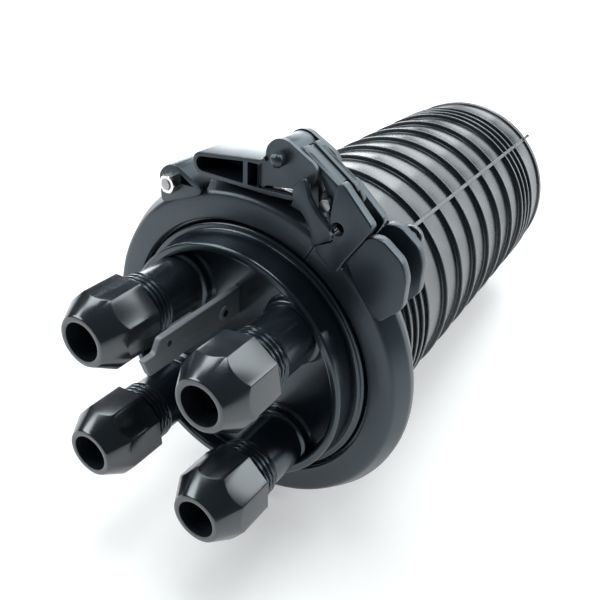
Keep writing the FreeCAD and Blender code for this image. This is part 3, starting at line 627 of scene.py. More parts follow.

# The second colour of each finish is its edge colour: rubbed wear, lightened further to paint a
# highlight along the edges.
FINISHES: dict[Slot, Finish] = {
    Slot.DOME: Finish("dome_black", (0.0085, 0.0122, 0.0165), (0.026, 0.032, 0.038), 0.27,
                      bump=0.00002, shine=1.0, shine_colour=COOL_BLACK),
    Slot.BASE: Finish("base_black", (0.0075, 0.011, 0.015), (0.045, 0.053, 0.061), 0.25, shine=0.9,
                      shine_colour=BLUE_BLACK),
    Slot.HOOP: Finish("hoop_black", (0.0085, 0.0125, 0.017), (0.045, 0.053, 0.061), 0.36, bump=0.00005,
                      shine=0.84, shine_colour=BLUE_BLACK),
    Slot.LATCH: Finish("latch_black", (0.0095, 0.0135, 0.018), (0.05, 0.058, 0.066), 0.36, bump=0.00005,
                       shine=0.84, shine_colour=BLUE_BLACK),
    Slot.GLAND: Finish("gland_black", (0.0075, 0.011, 0.015), (0.06, 0.069, 0.078), 0.2, bump=0.00002,
                       shine=1.0, shine_colour=COOL_BLACK),
    Slot.GLAND_INNER: Finish("thrust_ring", (0.03, 0.03, 0.032), (0.05, 0.05, 0.05), 0.5),
    Slot.SEAL: Finish("seal_rubber", (0.018, 0.018, 0.018), (0.03, 0.03, 0.03), 0.7, bump=0.0001),
    Slot.PIN: Finish("pin_steel", (0.3, 0.31, 0.32), (0.45, 0.45, 0.46), 0.34,
                     metallic=1.0, bump=0.00002),
    Slot.NICKEL: Finish("nickel_plate", (0.78, 0.76, 0.71), (0.86, 0.85, 0.82), 0.2,
                        metallic=1.0, tone=0.08),
    Slot.BRACKET: Finish("bracket_steel", (0.55, 0.55, 0.57), (0.65, 0.65, 0.66), 0.38, metallic=1.0),
    Slot.TRAY: Finish("tray_plastic", (0.72, 0.72, 0.68), (0.8, 0.8, 0.77), 0.45, tone=0.05),
    Slot.LID: Finish("lid_plastic", (0.76, 0.77, 0.75), (0.82, 0.82, 0.8), 0.3, tone=0.04),
    Slot.STRAP: Finish("strap_weave", (0.03, 0.03, 0.032), (0.06, 0.06, 0.06), 0.8,
                       grain=1600.0, bump=0.0003),
}

FIN_FINISH = Finish("fin_grey", (0.13, 0.143, 0.156), (0.18, 0.19, 0.2), 0.42,
                    bump=0.00006, shine=0.8)


class Dresser:
    """Gives pieces their finish, body and slot, and keeps count of them."""

    def __init__(self) -> None:
        """Build every finish."""
        groups = Groups()
        self.materials = {slot: finish.build(groups) for slot, finish in FINISHES.items()}
        self.fin = FIN_FINISH.build(groups)
        self.done: set[str] = set()

    def piece(self, thing: bpy.types.Object, body: str, slot: Slot, *nodes: str) -> None:
        """Finish a new piece.

        Args:
            thing: The piece, in place.
            body: Name of the body it rides on.
            slot: Its material slot.
            nodes: Frame nodes that it stands for.
        """
        thing.data.materials.clear()
        thing.data.materials.append(self.materials[slot])
        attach(thing, body)
        if nodes:
            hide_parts(*nodes)
            self.done.update(nodes)
        log.info("%s rides on %s, %d faces", thing.name, body, len(thing.data.polygons))

    def carry_over(self) -> None:
        """Finish every frame node that no piece replaces."""
        slots = {entry["node"]: entry["material_slot"] for entry in frame["record"]["subparts"]}
        for name, node in frame["nodes"].items():
            if name in self.done:
                continue
            node.data.materials.clear()
            node.data.materials.append(self.materials[Slot(slots[name])])
            log.info("%s keeps its solid", name)


@dataclass
class Dome:
    """Tapered dome with ring ribs, a spine and a tie eye.

    Attributes:
        root_radius: Wall radius behind the flange.
        taper: Loss of radius for each millimetre.
        root: Depth where the taper starts.
        length: Depth of the end rim.
        wall: Wall thickness.
        crown: Rise of the closed end.
        rib_height: Height of the ring ribs.
        rib_width: Width of the ring ribs.
        rib_round: Rounding of their edges.
        fine_start: Depth of the first close rib.
        fine_pitch: Step between close ribs.
        wide_start: Depth of the first wide-set rib.
        wide_pitch: Step between wide-set ribs.
        near_ribs: Close ribs near the hoop.
        wide_ribs: Wide-set ribs.
        far_ribs: Close ribs near the end.
        rim_width: Width of the end rim.
        flange_radius: Radius of the flange.
        flange_face: Depth of the flange's face.
        spine_angle: Angle of the spine from the top, clockwise.
        spine_width: Width of the spine.
        spine_tab: Reach of its tab past the end rim.
        spine_start: Depth where the spine starts.
        eye_place: Depth of the tie eye's face.
        eye_angle: Angle of the tie eye from the top, clockwise.
        eye_thickness: Thickness of the tie eye.
        eye_width: Width of the tie eye.
        eye_reach: Reach of the tie eye from the wall.
        eye_hole: Radius of its hole.
    """

    root_radius: float = 81.4
    taper: float = 0.0227
    root: float = 20.5
    length: float = 341.0
    wall: float = 3.5
    crown: float = 9.0
    rib_height: float = 3.3
    rib_width: float = 2.6
    rib_round: float = 0.7
    fine_start: float = 57.0
    fine_pitch: float = 9.0
    wide_start: float = 114.7
    wide_pitch: float = 27.5
    near_ribs: int = 4
    wide_ribs: int = 7
    far_ribs: int = 3
    rim_width: float = 5.0
    flange_radius: float = 97.0
    flange_face: float = 12.9
    spine_angle: float = 42.4
    spine_width: float = 2.6
    spine_tab: float = 3.0
    spine_start: float = 87.2
    eye_place: float = 84.0
    eye_angle: float = 44.8
    eye_thickness: float = 4.0
    eye_width: float = 16.0
    eye_reach: float = 15.5
    eye_hole: float = 4.3

    def radius(self, depth: float) -> float:
        """Wall radius at a depth."""
        return self.root_radius - self.taper * (depth - self.root)

    def ribs(self) -> list[float]:
        """Depth of each ring rib's front.

        Returns:
            The depths, from the hoop to the end.
        """
        near = [self.fine_start + self.fine_pitch * k for k in range(self.near_ribs)]
        wide = [self.wide_start + self.wide_pitch * k for k in range(self.wide_ribs)]
        far = [wide[-1] + self.fine_pitch * (k + 1) for k in range(self.far_ribs)]
        return near + wide + far

    def profile(self) -> Outline:
        """Closed outline of the wall, its ribs and its inside.

        Returns:
            Radius and z of each point.
        """
        outer: Outline = [(self.flange_radius, -self.flange_face), (self.flange_radius, -self.root),
                          (self.radius(self.root), -self.root)]
        for depth in self.ribs():
            back = depth + self.rib_width
            outer += [(self.radius(depth), -depth), (self.radius(depth) + self.rib_height, -depth),
                      (self.radius(back) + self.rib_height, -back), (self.radius(back), -back)]
        rim = self.length - self.rim_width
        proud = self.rib_height / 2
        end = self.radius(self.length)
        outer += [(self.radius(rim), -rim), (self.radius(rim) + proud, -rim),
                  (end + proud, -self.length)]
        outer = fillet(outer, self.rib_round, 3)[4:]
        edge = end - self.wall * 2
        top = self.length + self.crown
        closed = [(edge, -(self.length + self.crown * 0.7)), (0.0, -top), (0.0, -(top - self.wall)),
                  (edge - self.wall, -(self.length + self.crown * 0.7 - self.wall)),
                  (end - self.wall, -(self.length - self.wall)),
                  (self.radius(self.root) - self.wall, -self.flange_face)]
        return [(self.flange_radius, -self.flange_face)] + outer + closed

    def outward(self) -> Matrix:
        """Turn of a plate that stands on the wall: its x outwards and its y towards the glands.

        Returns:
            The turn, as a matrix.
        """
        turn = math.radians(90.0 - self.spine_angle)
        out = Vector((math.cos(turn), math.sin(turn), 0.0))
        along = Vector((0.0, 0.0, 1.0))
        side = out.cross(along)
        return Matrix((out, along, side)).transposed().to_4x4()

    def spine(self, shell: Shell) -> None:
        """Rib along the dome, with a tab past the end rim.

        Args:
            shell: Shell that takes the skins.
        """
        half = self.spine_width / 2
        start = self.spine_start
        foot = self.radius(start)
        low = self.radius(self.length) - self.wall / 2
        end_top = self.radius(self.length) + self.rib_height
        tab = self.length - self.rim_width * 2
        tab_top = end_top + self.spine_tab / 2
        outline = [(foot - self.wall / 2, -start), (foot + self.rib_height, -start), (end_top, -tab),
                   (tab_top, -tab), (tab_top, -(self.length + self.spine_tab)),
                   (low, -(self.length + self.spine_tab / 2))]
        shell.plate(fillet(outline, 1.2, 3), -half, half, 0.5, way=self.outward())

    def tie_eye(self) -> bpy.types.Object:
        """Round lug with a hole, standing on the dome.

        Returns:
            The lug, in place.
        """
        turn = Matrix.Rotation(math.radians(90.0 - self.eye_angle), 4, "Z")
        reach = self.eye_width / 2
        middle = self.radius(self.eye_place) + self.eye_reach - reach
        root = self.radius(self.eye_place) - self.wall / 2
        front = -self.eye_place
        back = front - self.eye_thickness
        bow = arc(middle, 0.0, reach, -90.0, 11.25, 17)
        eye = Shell()
        eye.plate([(root, -reach), *bow, (root, reach)], back, front, 0.6, way=turn)
        hole = Shell()
        hole.cutting(round_outline(middle + 1.0, 0.0, self.eye_hole, 24), back - 2, front + 2, turn)
        lug = eye.make("tie_eye")
        carve(lug, hole)
        return lug

    def build(self) -> bpy.types.Object:
        """Make the dome with its spine.

        Returns:
            The dome, in place.
        """
        shell = Shell()
        shell.lathe(self.profile(), steps=144)
        self.spine(shell)
        return shell.make("dome_shell")

    def dress(self, dresser: Dresser) -> None:
        """Build and finish the dome and its eye.

        Args:
            dresser: Gives pieces their finish, body and slot.
        """
        eye = self.tie_eye()
        dresser.piece(self.build(), Body.CLOSURE.value, Slot.DOME, "dome_cover")
        dresser.piece(eye, Body.CLOSURE.value, Slot.DOME)


def port_places() -> list[Point]:
    """Front-view centres of the four ports.

    Returns:
        The centres, row by row from the upper left.
    """
    across, lift = math.cos(PORT_ROLL), math.sin(PORT_ROLL)
    places = []
    for up in (PORT_UP, -PORT_UP):
        for right in (-PORT_RIGHT, PORT_RIGHT):
            places.append((across * right + lift * up, across * up - lift * right))
    return places


@dataclass
class PortBase:
    """Flanged base with a raised cup, threaded spigots and a hanger fin."""

    flange_radius: float = 97.0
    flange_face: float = -3.7
    flange_back: float = -11.3
    collar_radius: float = 82.0
    root_radius: float = 78.0
    rim_radius: float = 76.3
    height: float = 17.8
    wall: float = 5.3
    floor: float = 8.0
    plate: float = 5.0
    lip: float = 1.8
    cup_radius: float = 74.0
    cup_land: float = 3.0
    spigot_radius: float = 17.2
    spigot_root: float = 19.5
    spigot_root_height: float = 6.0
    spigot_front: float = 74.0
    bore: float = 11.5
    pocket: float = 14.5
    pocket_depth: float = 18.0
    thread_start: float = 40.0
    thread_crest: float = 18.5
    thread_pitch: float = 3.0
    thread_step: float = 0.25
    fin_half: float = 2.0
    fin_low: float = 31.0
    fin_high: float = 49.0
    fin_step_high: float = 42.0
    fin_step: float = 73.0
    fin_front: float = 86.0
    fin_ring: float = 4.5
    fin_ring_height: float = 1.2
    fin_holes: tuple[tuple[float, float, float], ...] = ((39.0, 22.0, 2.2), (43.0, 67.0, 1.7))

    def cup(self, shell: Shell) -> None:
        """Flange, collar and raised cup in one turned piece.

        Args:
            shell: Shell that takes the skins.
        """
        back = self.floor - self.plate
        inner = self.rim_radius - self.wall
        land = inner - self.cup_land
        outline = [(land, self.floor), (inner, self.floor), (inner, self.height),
                   (self.rim_radius, self.height), (self.root_radius, 0.0), (self.collar_radius, 0.0),
                   (self.collar_radius, self.flange_face), (self.flange_radius, self.flange_face),
                   (self.flange_radius, self.flange_back), (self.cup_radius, self.flange_back),
                   (self.cup_radius, back), (land, back)]
        rounded = fillet(outline, self.lip, 5)
        shell.lathe([(0.0, self.floor)] + rounded[6:-6] + [(0.0, back)], steps=128)

    def thread(self, turn: float, z: float) -> float:
        """Outer radius of a spigot at an angle and a height.

        Args:
            turn: Angle round the spigot.
            z: Height towards the glands.

        Returns:
            The radius.
        """
        if z < self.thread_start:
            return self.spigot_radius
        phase = ((z - self.thread_start) / self.thread_pitch - turn / math.tau) % 1.0
        ridge = max(0.0, min(1.0, 1.7 - abs(phase - 0.5) * 5.2))
        fade = min(1.0, (z - self.thread_start) / self.thread_pitch)
        return self.spigot_radius + (self.thread_crest - self.spigot_radius) * ridge * fade

    def spigot(self, shell: Shell, x: float, y: float) -> None:
        """One threaded tube with its root ring and seal pocket.

        Args:
            shell: Shell that takes the skins.
            x: Place of the axis.
            y: Place of the axis.
        """
        low = self.floor - 1.0
        turns = [math.tau * k / 72 for k in range(72)]
        levels = [low, self.floor + 12.0]
        rows = int((self.spigot_front - self.thread_start) / self.thread_step)
        levels += [self.thread_start + self.thread_step * k for k in range(rows)]
        rings = [[Vector((x + self.thread(t, z) * math.cos(t), y + self.thread(t, z) * math.sin(t), z))
                  for t in turns] for z in levels]
        seat = self.spigot_front - self.pocket_depth
        inside = [(self.spigot_radius - 0.4, self.spigot_front), (self.pocket, self.spigot_front),
                  (self.pocket, seat), (self.bore, seat), (self.bore, low)]
        rings += [[Vector((x + r * math.cos(t), y + r * math.sin(t), z)) for t in turns]
                  for r, z in inside]
        shell.skin(rings, loop=True)
        top = self.floor + self.spigot_root_height
        inner = self.spigot_radius - 1.0
        outer = self.spigot_root
        root = [(inner, low), (outer + 2.0, low), (outer + 2.0, self.floor), (outer, self.floor + 1.5),
                (outer, top), (inner, top + 1.5)]
        shell.lathe(fillet(root, 0.8, 3), 64, x, y)

    def fin(self) -> bpy.types.Object:
        """Hanger fin with its ring and two holes.

        Returns:
            The fin, in place.
        """
        shell = Shell()
        foot = self.floor - 2.0
        outline = [(self.fin_low, foot), (self.fin_high, foot), (self.fin_high, self.fin_step),
                   (self.fin_step_high, self.fin_step + 4.0), (self.fin_step_high, self.fin_front),
                   (self.fin_low, self.fin_front - 4.0)]
        half = self.fin_half
        shell.plate(fillet(outline, 1.6, 4), -half, half, 0.7, way=UPRIGHT_PLATE)
        proud = half + self.fin_ring_height
        ring = round_outline(*self.fin_holes[0][:2], self.fin_ring, 32)
        shell.plate(ring, -proud, proud, 0.5, way=UPRIGHT_PLATE)
        holes = Shell()
        for y, z, radius in self.fin_holes:
            holes.cutting(round_outline(y, z, radius, 24), -9.0, 9.0, UPRIGHT_PLATE)
        fin = shell.make("hanger_fin")
        carve(fin, holes)
        return fin

    def paint_hole_shade(self, fin: bpy.types.Object, finish: bpy.types.Material) -> None:
        """Paint shade on the walls of the fin's holes by giving them a dark finish of their own.

        Args:
            fin: The fin, in place.
            finish: Dark finish that paints the shade on the walls.
        """
        fin.data.materials.append(finish)
        for y, z, radius in self.fin_holes:
            middle = FRONT @ Vector((0.0, y, z))
            for face in fin.data.polygons:
                away = (face.center - middle).yz.length
                if away < radius * 1.1 * MM and abs(face.normal.x) < 0.5:
                    face.material_index = 1

    def dress(self, dresser: Dresser) -> None:
        """Build and finish the base.

        Args:
            dresser: Gives pieces their finish, body and slot.
        """
        shell = Shell()
        self.cup(shell)
        base = shell.make("base_cup")
        bores = Shell()
        for x, y in port_places():
            bores.rod(x, y, self.bore, -20.0, 40.0, CUT_RIM)
        carve(base, bores)
        dresser.piece(base, Body.CLOSURE.value, Slot.BASE, "port_base")
        for number, (x, y) in enumerate(port_places(), 1):
            tube = Shell()
            self.spigot(tube, x, y)
            dresser.piece(tube.make(f"spigot_{number}"), Body.CLOSURE.value, Slot.BASE)
        fin = self.fin()
        dresser.piece(fin, Body.CLOSURE.value, Slot.BASE)
        fin.data.materials[0] = dresser.fin
        # The seal's dark rubber paints shade on the walls inside the fin's holes.
        self.paint_hole_shade(fin, dresser.materials[Slot.SEAL])


@dataclass
class GlandNut:
    """Octagonal nut that narrows to a round mouth."""

    number: int
    x: float
    y: float
    turn: float
    flats: float = 43.0
    back: float = 55.0
    length: float = 36.0
    mouth_radius: float = 14.5
    slope: float = 0.63
    bore: float = 11.2
    mouth_depth: float = 14.0
    thread: float = 18.8
    edge: float = 0.45
    corner: float = 0.8
    facet: float = 2.2

    def rings(self) -> list[list[Vector]]:
        """Rings of the nut from its back round to its bore, each following the same outline.

        Returns:
            The rings, about the nut's own axis.
        """
        mouth = self.back + self.length
        outline = divided(fillet(regular(8, self.flats), self.corner, 3), self.facet)
        ways = [(Vector(spot).normalized(), Vector(spot).length) for spot in outline]
        meets = [mouth - (reach - self.mouth_radius) / self.slope for _, reach in ways]

        def prism(cut: float, drop: Callable[[float], float]) -> list[Vector]:
            """Ring on the flats, given how far it is cut in and its height for a meeting height."""
            return [Vector((*(way * (reach - cut)), drop(meet)))
                    for (way, reach), meet in zip(ways, meets)]

        def cone(rise: float) -> list[Vector]:
            """Ring on the cone, a rise above where it meets the flats."""
            return [Vector((*(way * (reach - rise * self.slope)), meet + rise))
                    for (way, reach), meet in zip(ways, meets)]

        def hoop(radius: float, z: float) -> list[Vector]:
            """Plain round ring."""
            return [Vector((*(way * radius), z)) for way, _ in ways]

        edge = self.edge
        shoulder = mouth - self.mouth_depth
        return [prism(edge, lambda meet: self.back), prism(0.2, lambda meet: self.back + 0.25),
                prism(0.0, lambda meet: self.back + edge), prism(0.0, lambda meet: meet - edge),
                prism(0.09, lambda meet: meet - 0.1), cone(edge),
                hoop(self.mouth_radius + 0.9 * self.slope + 0.1, mouth - 1.0),
                hoop(self.mouth_radius + 0.15, mouth - 0.25), hoop(self.mouth_radius - 0.3, mouth),
                hoop(self.bore + 0.5, mouth), hoop(self.bore + 0.1, mouth - 0.2),
                hoop(self.bore, mouth - 0.6), hoop(self.bore, shoulder), hoop(self.thread, shoulder),
                hoop(self.thread, self.back + edge), hoop(self.thread + edge, self.back)]

    def dress(self, dresser: Dresser) -> None:
        """Build and finish the nut.

        Args:
            dresser: Gives pieces their finish, body and slot.
        """
        turn = Matrix.Rotation(math.radians(self.turn), 4, "Z")
        spin = Matrix.Translation((self.x, self.y, 0.0)) @ turn
        shell = Shell()
        shell.skin([[spin @ spot for spot in ring] for ring in self.rings()], loop=True)
        nut = shell.make(f"gland_nut_{self.number}_shell")
        dresser.piece(nut, f"gland_{self.number}", Slot.GLAND, f"gland_nut_{self.number}")


@dataclass
class Hoop:
    """Channel ring in two halves, with the blocks of the latch and the hinge."""

    front: float = 1.0
    rear: float = -25.0
    block_front: float = -6.0
    block_rear: float = -14.0
    split: float = 27.5
    gap: float = 0.3
    knuckle: float = 6.5

    def profile(self) -> Outline:
        """Outline of the channel, with a slightly crowned front.

        Returns:
            Radius and z of each point.
        """
        sharp = [(84.5, -3.4), (84.5, 0.7), (88.0, 0.9), (92.0, 1.0), (96.0, 0.9), (98.8, 0.6),
                 (100.5, -0.6), (102.8, -4.8), (105.5, -10.0), (105.5, -14.0), (101.0, -22.6),
                 (99.0, -25.0), (87.0, -25.0), (87.0, -20.8), (98.0, -20.8), (98.0, -3.4)]
        return fillet(sharp, 0.9, 3)

    def ring(self, shell: Shell, start: float, end: float) -> None:
        """Part of the ring between two angles, in degrees from the right, counter-clockwise."""
        slack = math.degrees(self.gap / 100.0)
        shell.lathe(self.profile(), 110, start=start + slack, sweep=end - start - slack * 2)

    def foot(self, shell: Shell, side: int) -> None:
        """Flat foot beside the hinge.

        Args:
            shell: Shell that takes the skins.
            side: One for the right foot, minus one for the left.
        """
        floor = -AXIS_HEIGHT
        near, far = self.gap * side, 18.0 * side
        outline = [(near, floor), (far, floor), (far, floor + 8.0), (near, floor + 13.0)]
        shell.plate(fillet(outline, 1.0, 3), self.rear + 1.5, self.front - 1.5, 0.5)

    def steps(self, place: Point, moves: Outline) -> Outline:
        """Outline given as steps from a place."""
        return [(place[0] + right, place[1] + up) for right, up in moves]

    def left(self) -> bpy.types.Object:
        """Fixed half with the lock lug and the fulcrum block.

        Returns:
            The half, in place.
        """
        shell = Shell()
        self.ring(shell, 90.0 - self.split, 270.0)
        self.foot(shell, -1)
        lug = self.steps(LOCK, [(-9, -15), (-10, 3.5), (-4, 9.5), (3.4, 11), (21.4, 1.5), (20.4, -3)])
        shell.plate(fillet(lug, 4.0, 6), LEVER_REAR, LEVER_FRONT, 0.7)
        stem = [(22.2, 94.0), (44.2, 86.0), (42.2, 100.0), (41.0, 121.5), (32.5, 122.5)]
        shell.plate(fillet(stem, 1.0, 3), self.block_rear, self.block_front, 0.5)
        shell.rod(*FULCRUM, 4.6, self.block_rear, self.block_front, 0.5)
        shell.rod(*HINGE, self.knuckle, -18.0, -6.0, 0.5)
        half = shell.make("hoop_left_shell")
        cutter = Shell()
        window = self.steps(LOCK, [(6.2, 0.5), (6.2, 6.2), (15.9, 0.8)])
        cutter.cutting(fillet(window, 1.0, 3), *THROUGH)
        cutter.rod(*LOCK, 3.3, *THROUGH, CUT_RIM)
        carve(half, cutter)
        return half

    def right(self) -> bpy.types.Object:
        """Swinging half with the strike block, its guard hook and the outer knuckles.

        Returns:
            The half, in place.
        """
        shell = Shell()
        self.ring(shell, -90.0, 90.0 - self.split)
        self.foot(shell, 1)
        wall = self.steps(STRIKE, [(-3.5, -24.5), (4, -10), (6.5, 12), (10, 16), (29, -3), (25.5, -9),
                                   (14.5, -26), (10.5, -34)])
        shoulder = self.steps(STRIKE, [(14.5, -26), (25.5, -9), (33, -8.5), (44.8, -17), (48.5, -26),
                                       (48.2, -42.6), (36.3, -54.7), (30, -50), (22, -40)])
        back_wall = self.steps(STRIKE, [(-3.5, -24.5), (0.5, -10), (-1.5, 3), (1.5, 8), (4.5, 6.8),
                                        (23.5, -9.3), (14.5, -26), (10.5, -34)])
        for outline, low, high in ((wall, -0.6, 5.2), (back_wall, -25.2, -19.4), (shoulder, -3.4, 2.8),
                                   (shoulder, -22.8, -16.6)):
            shell.plate(fillet(outline, 3.2, 5), low, high, 0.7)
        web = self.steps(STRIKE, [(1.5, -21), (-7, 0), (7, 0), (12, -26)])
        shell.plate(fillet(web, 1.0, 3), self.block_rear, self.block_front, 0.5)
        shell.rod(*STRIKE, 7.0, self.block_rear, self.block_front, 0.5)
        hook = [(46.5, 88.0), (45.4, 94.0), (44.4, 97.5), (41.7, 102.3), (36.0, 108.4), (34.0, 111.0),
                (33.2, 116.3), (35.8, 120.2), (40.2, 123.8), (43.4, 113.8), (48.5, 107.0),
                (57.5, 100.0), (58.0, 95.0)]
        shell.plate(fillet(hook, 2.0, 4), 3.3, 7.3, 0.8)
        foot = [(46.8, 87.0), (49.0, 99.0), (57.5, 100.0), (58.0, 93.0)]
        shell.plate(fillet(foot, 1.5, 3), 0.0, 5.2, 0.5)
        rear_end, front_end = HINGE_ENDS
        for low, high in ((-5.7, front_end), (rear_end, -18.3)):
            shell.rod(*HINGE, self.knuckle, low, high, 0.5)
        half = shell.make("hoop_right_shell")
        cutter = Shell()
        cutter.rod(STRIKE[0] + 9.5, STRIKE[1] - 9.0, 3.8, -2.0, 12.0, CUT_RIM)
        carve(half, cutter)
        return half

    def dress(self, dresser: Dresser) -> None:
        """Build and finish both halves."""
        dresser.piece(self.left(), Body.CLOSURE.value, Slot.HOOP, "hoop_left_half")
        dresser.piece(self.right(), Body.RIGHT_HALF.value, Slot.HOOP, "hoop_right_half")


@dataclass
class Latch:
    """Lever, link and pins of the toggle latch, and the lock bolt."""

    front: float = LEVER_FRONT
    rear: float = LEVER_REAR
    cheek: float = 4.0
    wall: float = 2.5
    low: float = 106.6
    tip_high: float = 120.0
    root_high: float = 125.5
    end: float = -34.0
    root: float = 16.0
    recess: float = 1.6
    dip: Point = (9.8, 127.94)
    dip_radius: float = 3.2
    dip_sweep: float = 82.8
    boss_radius: float = 10.0
    nose_radius: float = 7.0
    stub_radius: float = 3.7
    link_pin_radius: float = 3.0
    strike_pin_radius: float = 3.3
    fulcrum_pin_radius: float = 2.5
    hinge_pin_radius: float = 3.0
    hex_flats: float = 10.0
    hex_height: float = 5.0
    bolt_radius: float = 2.95

    def side_view(self) -> Outline:
        """Outline of the lever from the front: handle, boss and the cheek down to the fulcrum.

        Returns:
            The outline in the front view.
        """
        radius = (self.tip_high - self.low) / 2
        tip = self.end + radius
        outline = arc(tip, self.low + radius, radius, 270.0, -12.0, 16)
        outline += arc(*self.dip, self.dip_radius, -self.dip_sweep, self.dip_sweep / 7, 8)
        outline += arc(*LINK_PIN, self.boss_radius, 176.0, -8.0, 16)
        outline += arc(*FULCRUM, self.nose_radius, 58.0, -12.0, 10)
        x = FULCRUM[0]
        return outline + [(x - 3.0, self.low + 2.0), (x - 9.0, self.low + 0.6), (self.root, self.low)]

    def lever(self) -> bpy.types.Object:
        """Hollow handle with its recessed cheeks and bosses.

        Returns:
            The lever, in place.
        """
        shell = Shell()
        shell.plate(self.side_view(), self.rear, self.front, 0.6)
        thing = shell.make("latch_lever_shell")
        low, wall = self.low, self.wall
        radius = (self.tip_high - low) / 2
        tip = self.end + radius
        cutter = Shell()
        inner = radius - wall
        hollow = arc(tip, low + radius, inner, 90.0, 180.0 / 14, 15)
        hollow += [(0.0, low + wall), (0.0, self.tip_high + 1.4)]
        cutter.plate(hollow, self.front - 20.0, 20.0, 0.5)
        deep = [(2.8, low + wall), (9.5, low + wall), (9.5, self.root_high - 3.4),
                (2.8, self.tip_high + 1.8)]
        cutter.plate(fillet(deep, 0.8, 3), self.front - 20.0, 20.0, 0.3)
        carve(thing, cutter)
        face = Shell()
        recess = [(9.6, low + wall), (33.5, low + wall + 1.4), (33.5, low - 5.0), (74.0, low - 5.0),
                  (74.0, 143.0), (11.6, 143.0), (11.6, 128.6), (14.2, 124.6), (9.6, 122.0)]
        face.cutting(fillet(recess, 0.8, 3), self.front - self.recess, 20.0)
        carve(thing, face)
        gap = Shell()
        slot = [(11.6, low + wall + 0.3), (31.5, low + wall + 1.4), (31.5, low + wall + 4.6),
                (14.0, low + wall + 2.2)]
        gap.cutting(fillet(slot, 0.9, 3), self.front - self.cheek - 1.0, 20.0)
        carve(thing, gap)
        fork = Shell()
        between = (self.rear + self.cheek, self.front - self.cheek)
        fork.cutting([(self.root, 90.0), (74.0, 90.0), (74.0, 150.0), (self.root, 150.0)], *between)
        carve(thing, fork)
        seat = Shell()
        seat.cutting(round_outline(*LINK_PIN, self.boss_radius + 0.4, 48), *between)
        carve(thing, seat)
        return thing

    def link_point(self, along: float, out: float) -> Point:
        """Front-view point along the line from link pin to strike pin, and out from it.

        Args:
            along: Distance past the strike pin.
            out: Distance out from the line.

        Returns:
            The point in the front view.
        """
        run = (Vector(STRIKE) - Vector(LINK_PIN)).normalized()
        spot = Vector(STRIKE) + run * along + Vector((-run.y, run.x)) * out
        return spot.x, spot.y

    def link_line(self, steps: Outline, radius: float, segments: int) -> Outline:
        """Rounded outline from points along and out from the link's line."""
        return fillet([self.link_point(along, out) for along, out in steps], radius, segments)

    def link(self) -> bpy.types.Object:
        """Hub, two arms that hook on the strike pin, and the ridged bridge between them.

        Returns:
            The link, in place.
        """
        shell = Shell()
        jaw = 6.7
        top = 11.3
        start = -math.dist(LINK_PIN, STRIKE)
        steps = [(start, 6.5), (start + 5.5, top), (2, top), (jaw + 4, 7), (jaw + 4, -2), (jaw, -2),
                 (jaw, 3.9), (-6, 3.9), (-12, 7.8), (start + 8.5, 7.8), (start + 4.5, -5)]
        arm = self.link_line(steps, 2.2, 5)
        front = self.front - self.cheek - 0.3
        rear = self.rear + self.cheek + 0.3
        for low, high in ((front - 4.0, front), (rear, rear + 4.0)):
            shell.plate(arm, low, high, 0.7)
        shell.rod(*LINK_PIN, 9.4, rear, front, 0.6)
        bridge = [(start + 4.5, 9.5), (start + 4.5, 10.3), (-3, 10.3), (-3, 9.5)]
        shell.plate(self.link_line(bridge, 0.3, 2), rear + 1.0, front - 1.0, 0.2)
        ridge = [(start + 3.0, 9.5), (start + 4.5, top), (2, top), (5.5, 9.6), (2.5, 9.5)]
        ridge_line = self.link_line(ridge, 1.0, 4)
        for low, high in ((front - 7.2, front - 0.4), (rear + 0.4, rear + 6.0)):
            shell.plate(ridge_line, low, high, 0.6)
        return shell.make("latch_link_shell")

    def pins(self, dresser: Dresser) -> None:
        """Pins of the latch and the hinge.

        Args:
            dresser: Gives pieces their finish, body and slot.
        """
        stub = Shell()
        face = self.front - self.recess
        pin, head, front = self.link_pin_radius, self.stub_radius, self.front
        outline = [(0.0, self.rear), (pin, self.rear), (pin, face - 0.4), (head, face - 0.4),
                   (head, front + 3.6), (head - 0.5, front + 4.6), (head - 1.5, front + 5.3),
                   (0.0, front + 5.6)]
        stub.lathe(outline, 40, *LINK_PIN)
        dresser.piece(stub.make("link_pin_stub"), Body.LEVER.value, Slot.LATCH, "lever_link_pin")
        strike = Shell()
        strike.rod(*STRIKE, self.strike_pin_radius, -18.7, 3.0, 0.4)
        dresser.piece(strike.make("strike_pin_bar"), Body.RIGHT_HALF.value, Slot.PIN, "strike_pin")
        fulcrum = Shell()
        fulcrum.rod(*FULCRUM, self.fulcrum_pin_radius, self.rear, face - 0.3, 0.3)
        dresser.piece(fulcrum.make("fulcrum_pin_bar"), Body.CLOSURE.value, Slot.LATCH,
                      "lever_fulcrum_pin")
        hinge = Shell()
        hinge.rod(*HINGE, self.hinge_pin_radius, *HINGE_ENDS, 0.4)
        dresser.piece(hinge.make("hinge_pin_bar"), Body.CLOSURE.value, Slot.PIN, "hoop_hinge_pin")

    def lock_bolt(self, dresser: Dresser) -> None:
        """Bolt with a thread at its end, and its chamfered nut.

        Args:
            dresser: Gives pieces their finish, body and slot.
        """
        x, y = LOCK
        front = self.front
        nut_high = front + self.hex_height
        bolt = Shell()
        turns = [math.tau * k / 28 for k in range(28)]
        levels = [self.rear] + [front - 1.0 + 0.2 * k for k in range(34)]
        rings = []
        for z in levels:
            reach = []
            for t in turns:
                wave = 0.5 + 0.5 * math.cos(math.tau * z - t)
                radius = self.bolt_radius if z < front else 2.65 + 0.32 * wave
                reach.append(Vector((x + radius * math.cos(t), y + radius * math.sin(t), z)))
            rings.append(reach)
        bolt.skin(rings)
        bolt.plate(regular(6, self.hex_flats, x, y, 30.0), self.rear - 4.0, self.rear, 0.5)
        dresser.piece(bolt.make("lock_bolt_bar"), Body.CLOSURE.value, Slot.PIN, "lock_bolt")
        nut = Shell()
        outline = divided(regular(6, self.hex_flats, turn=30.0), 1.0)
        middle = Vector((x, y, 0.0))
        spots = [Vector((px, py, 0.0)) for px, py in outline]

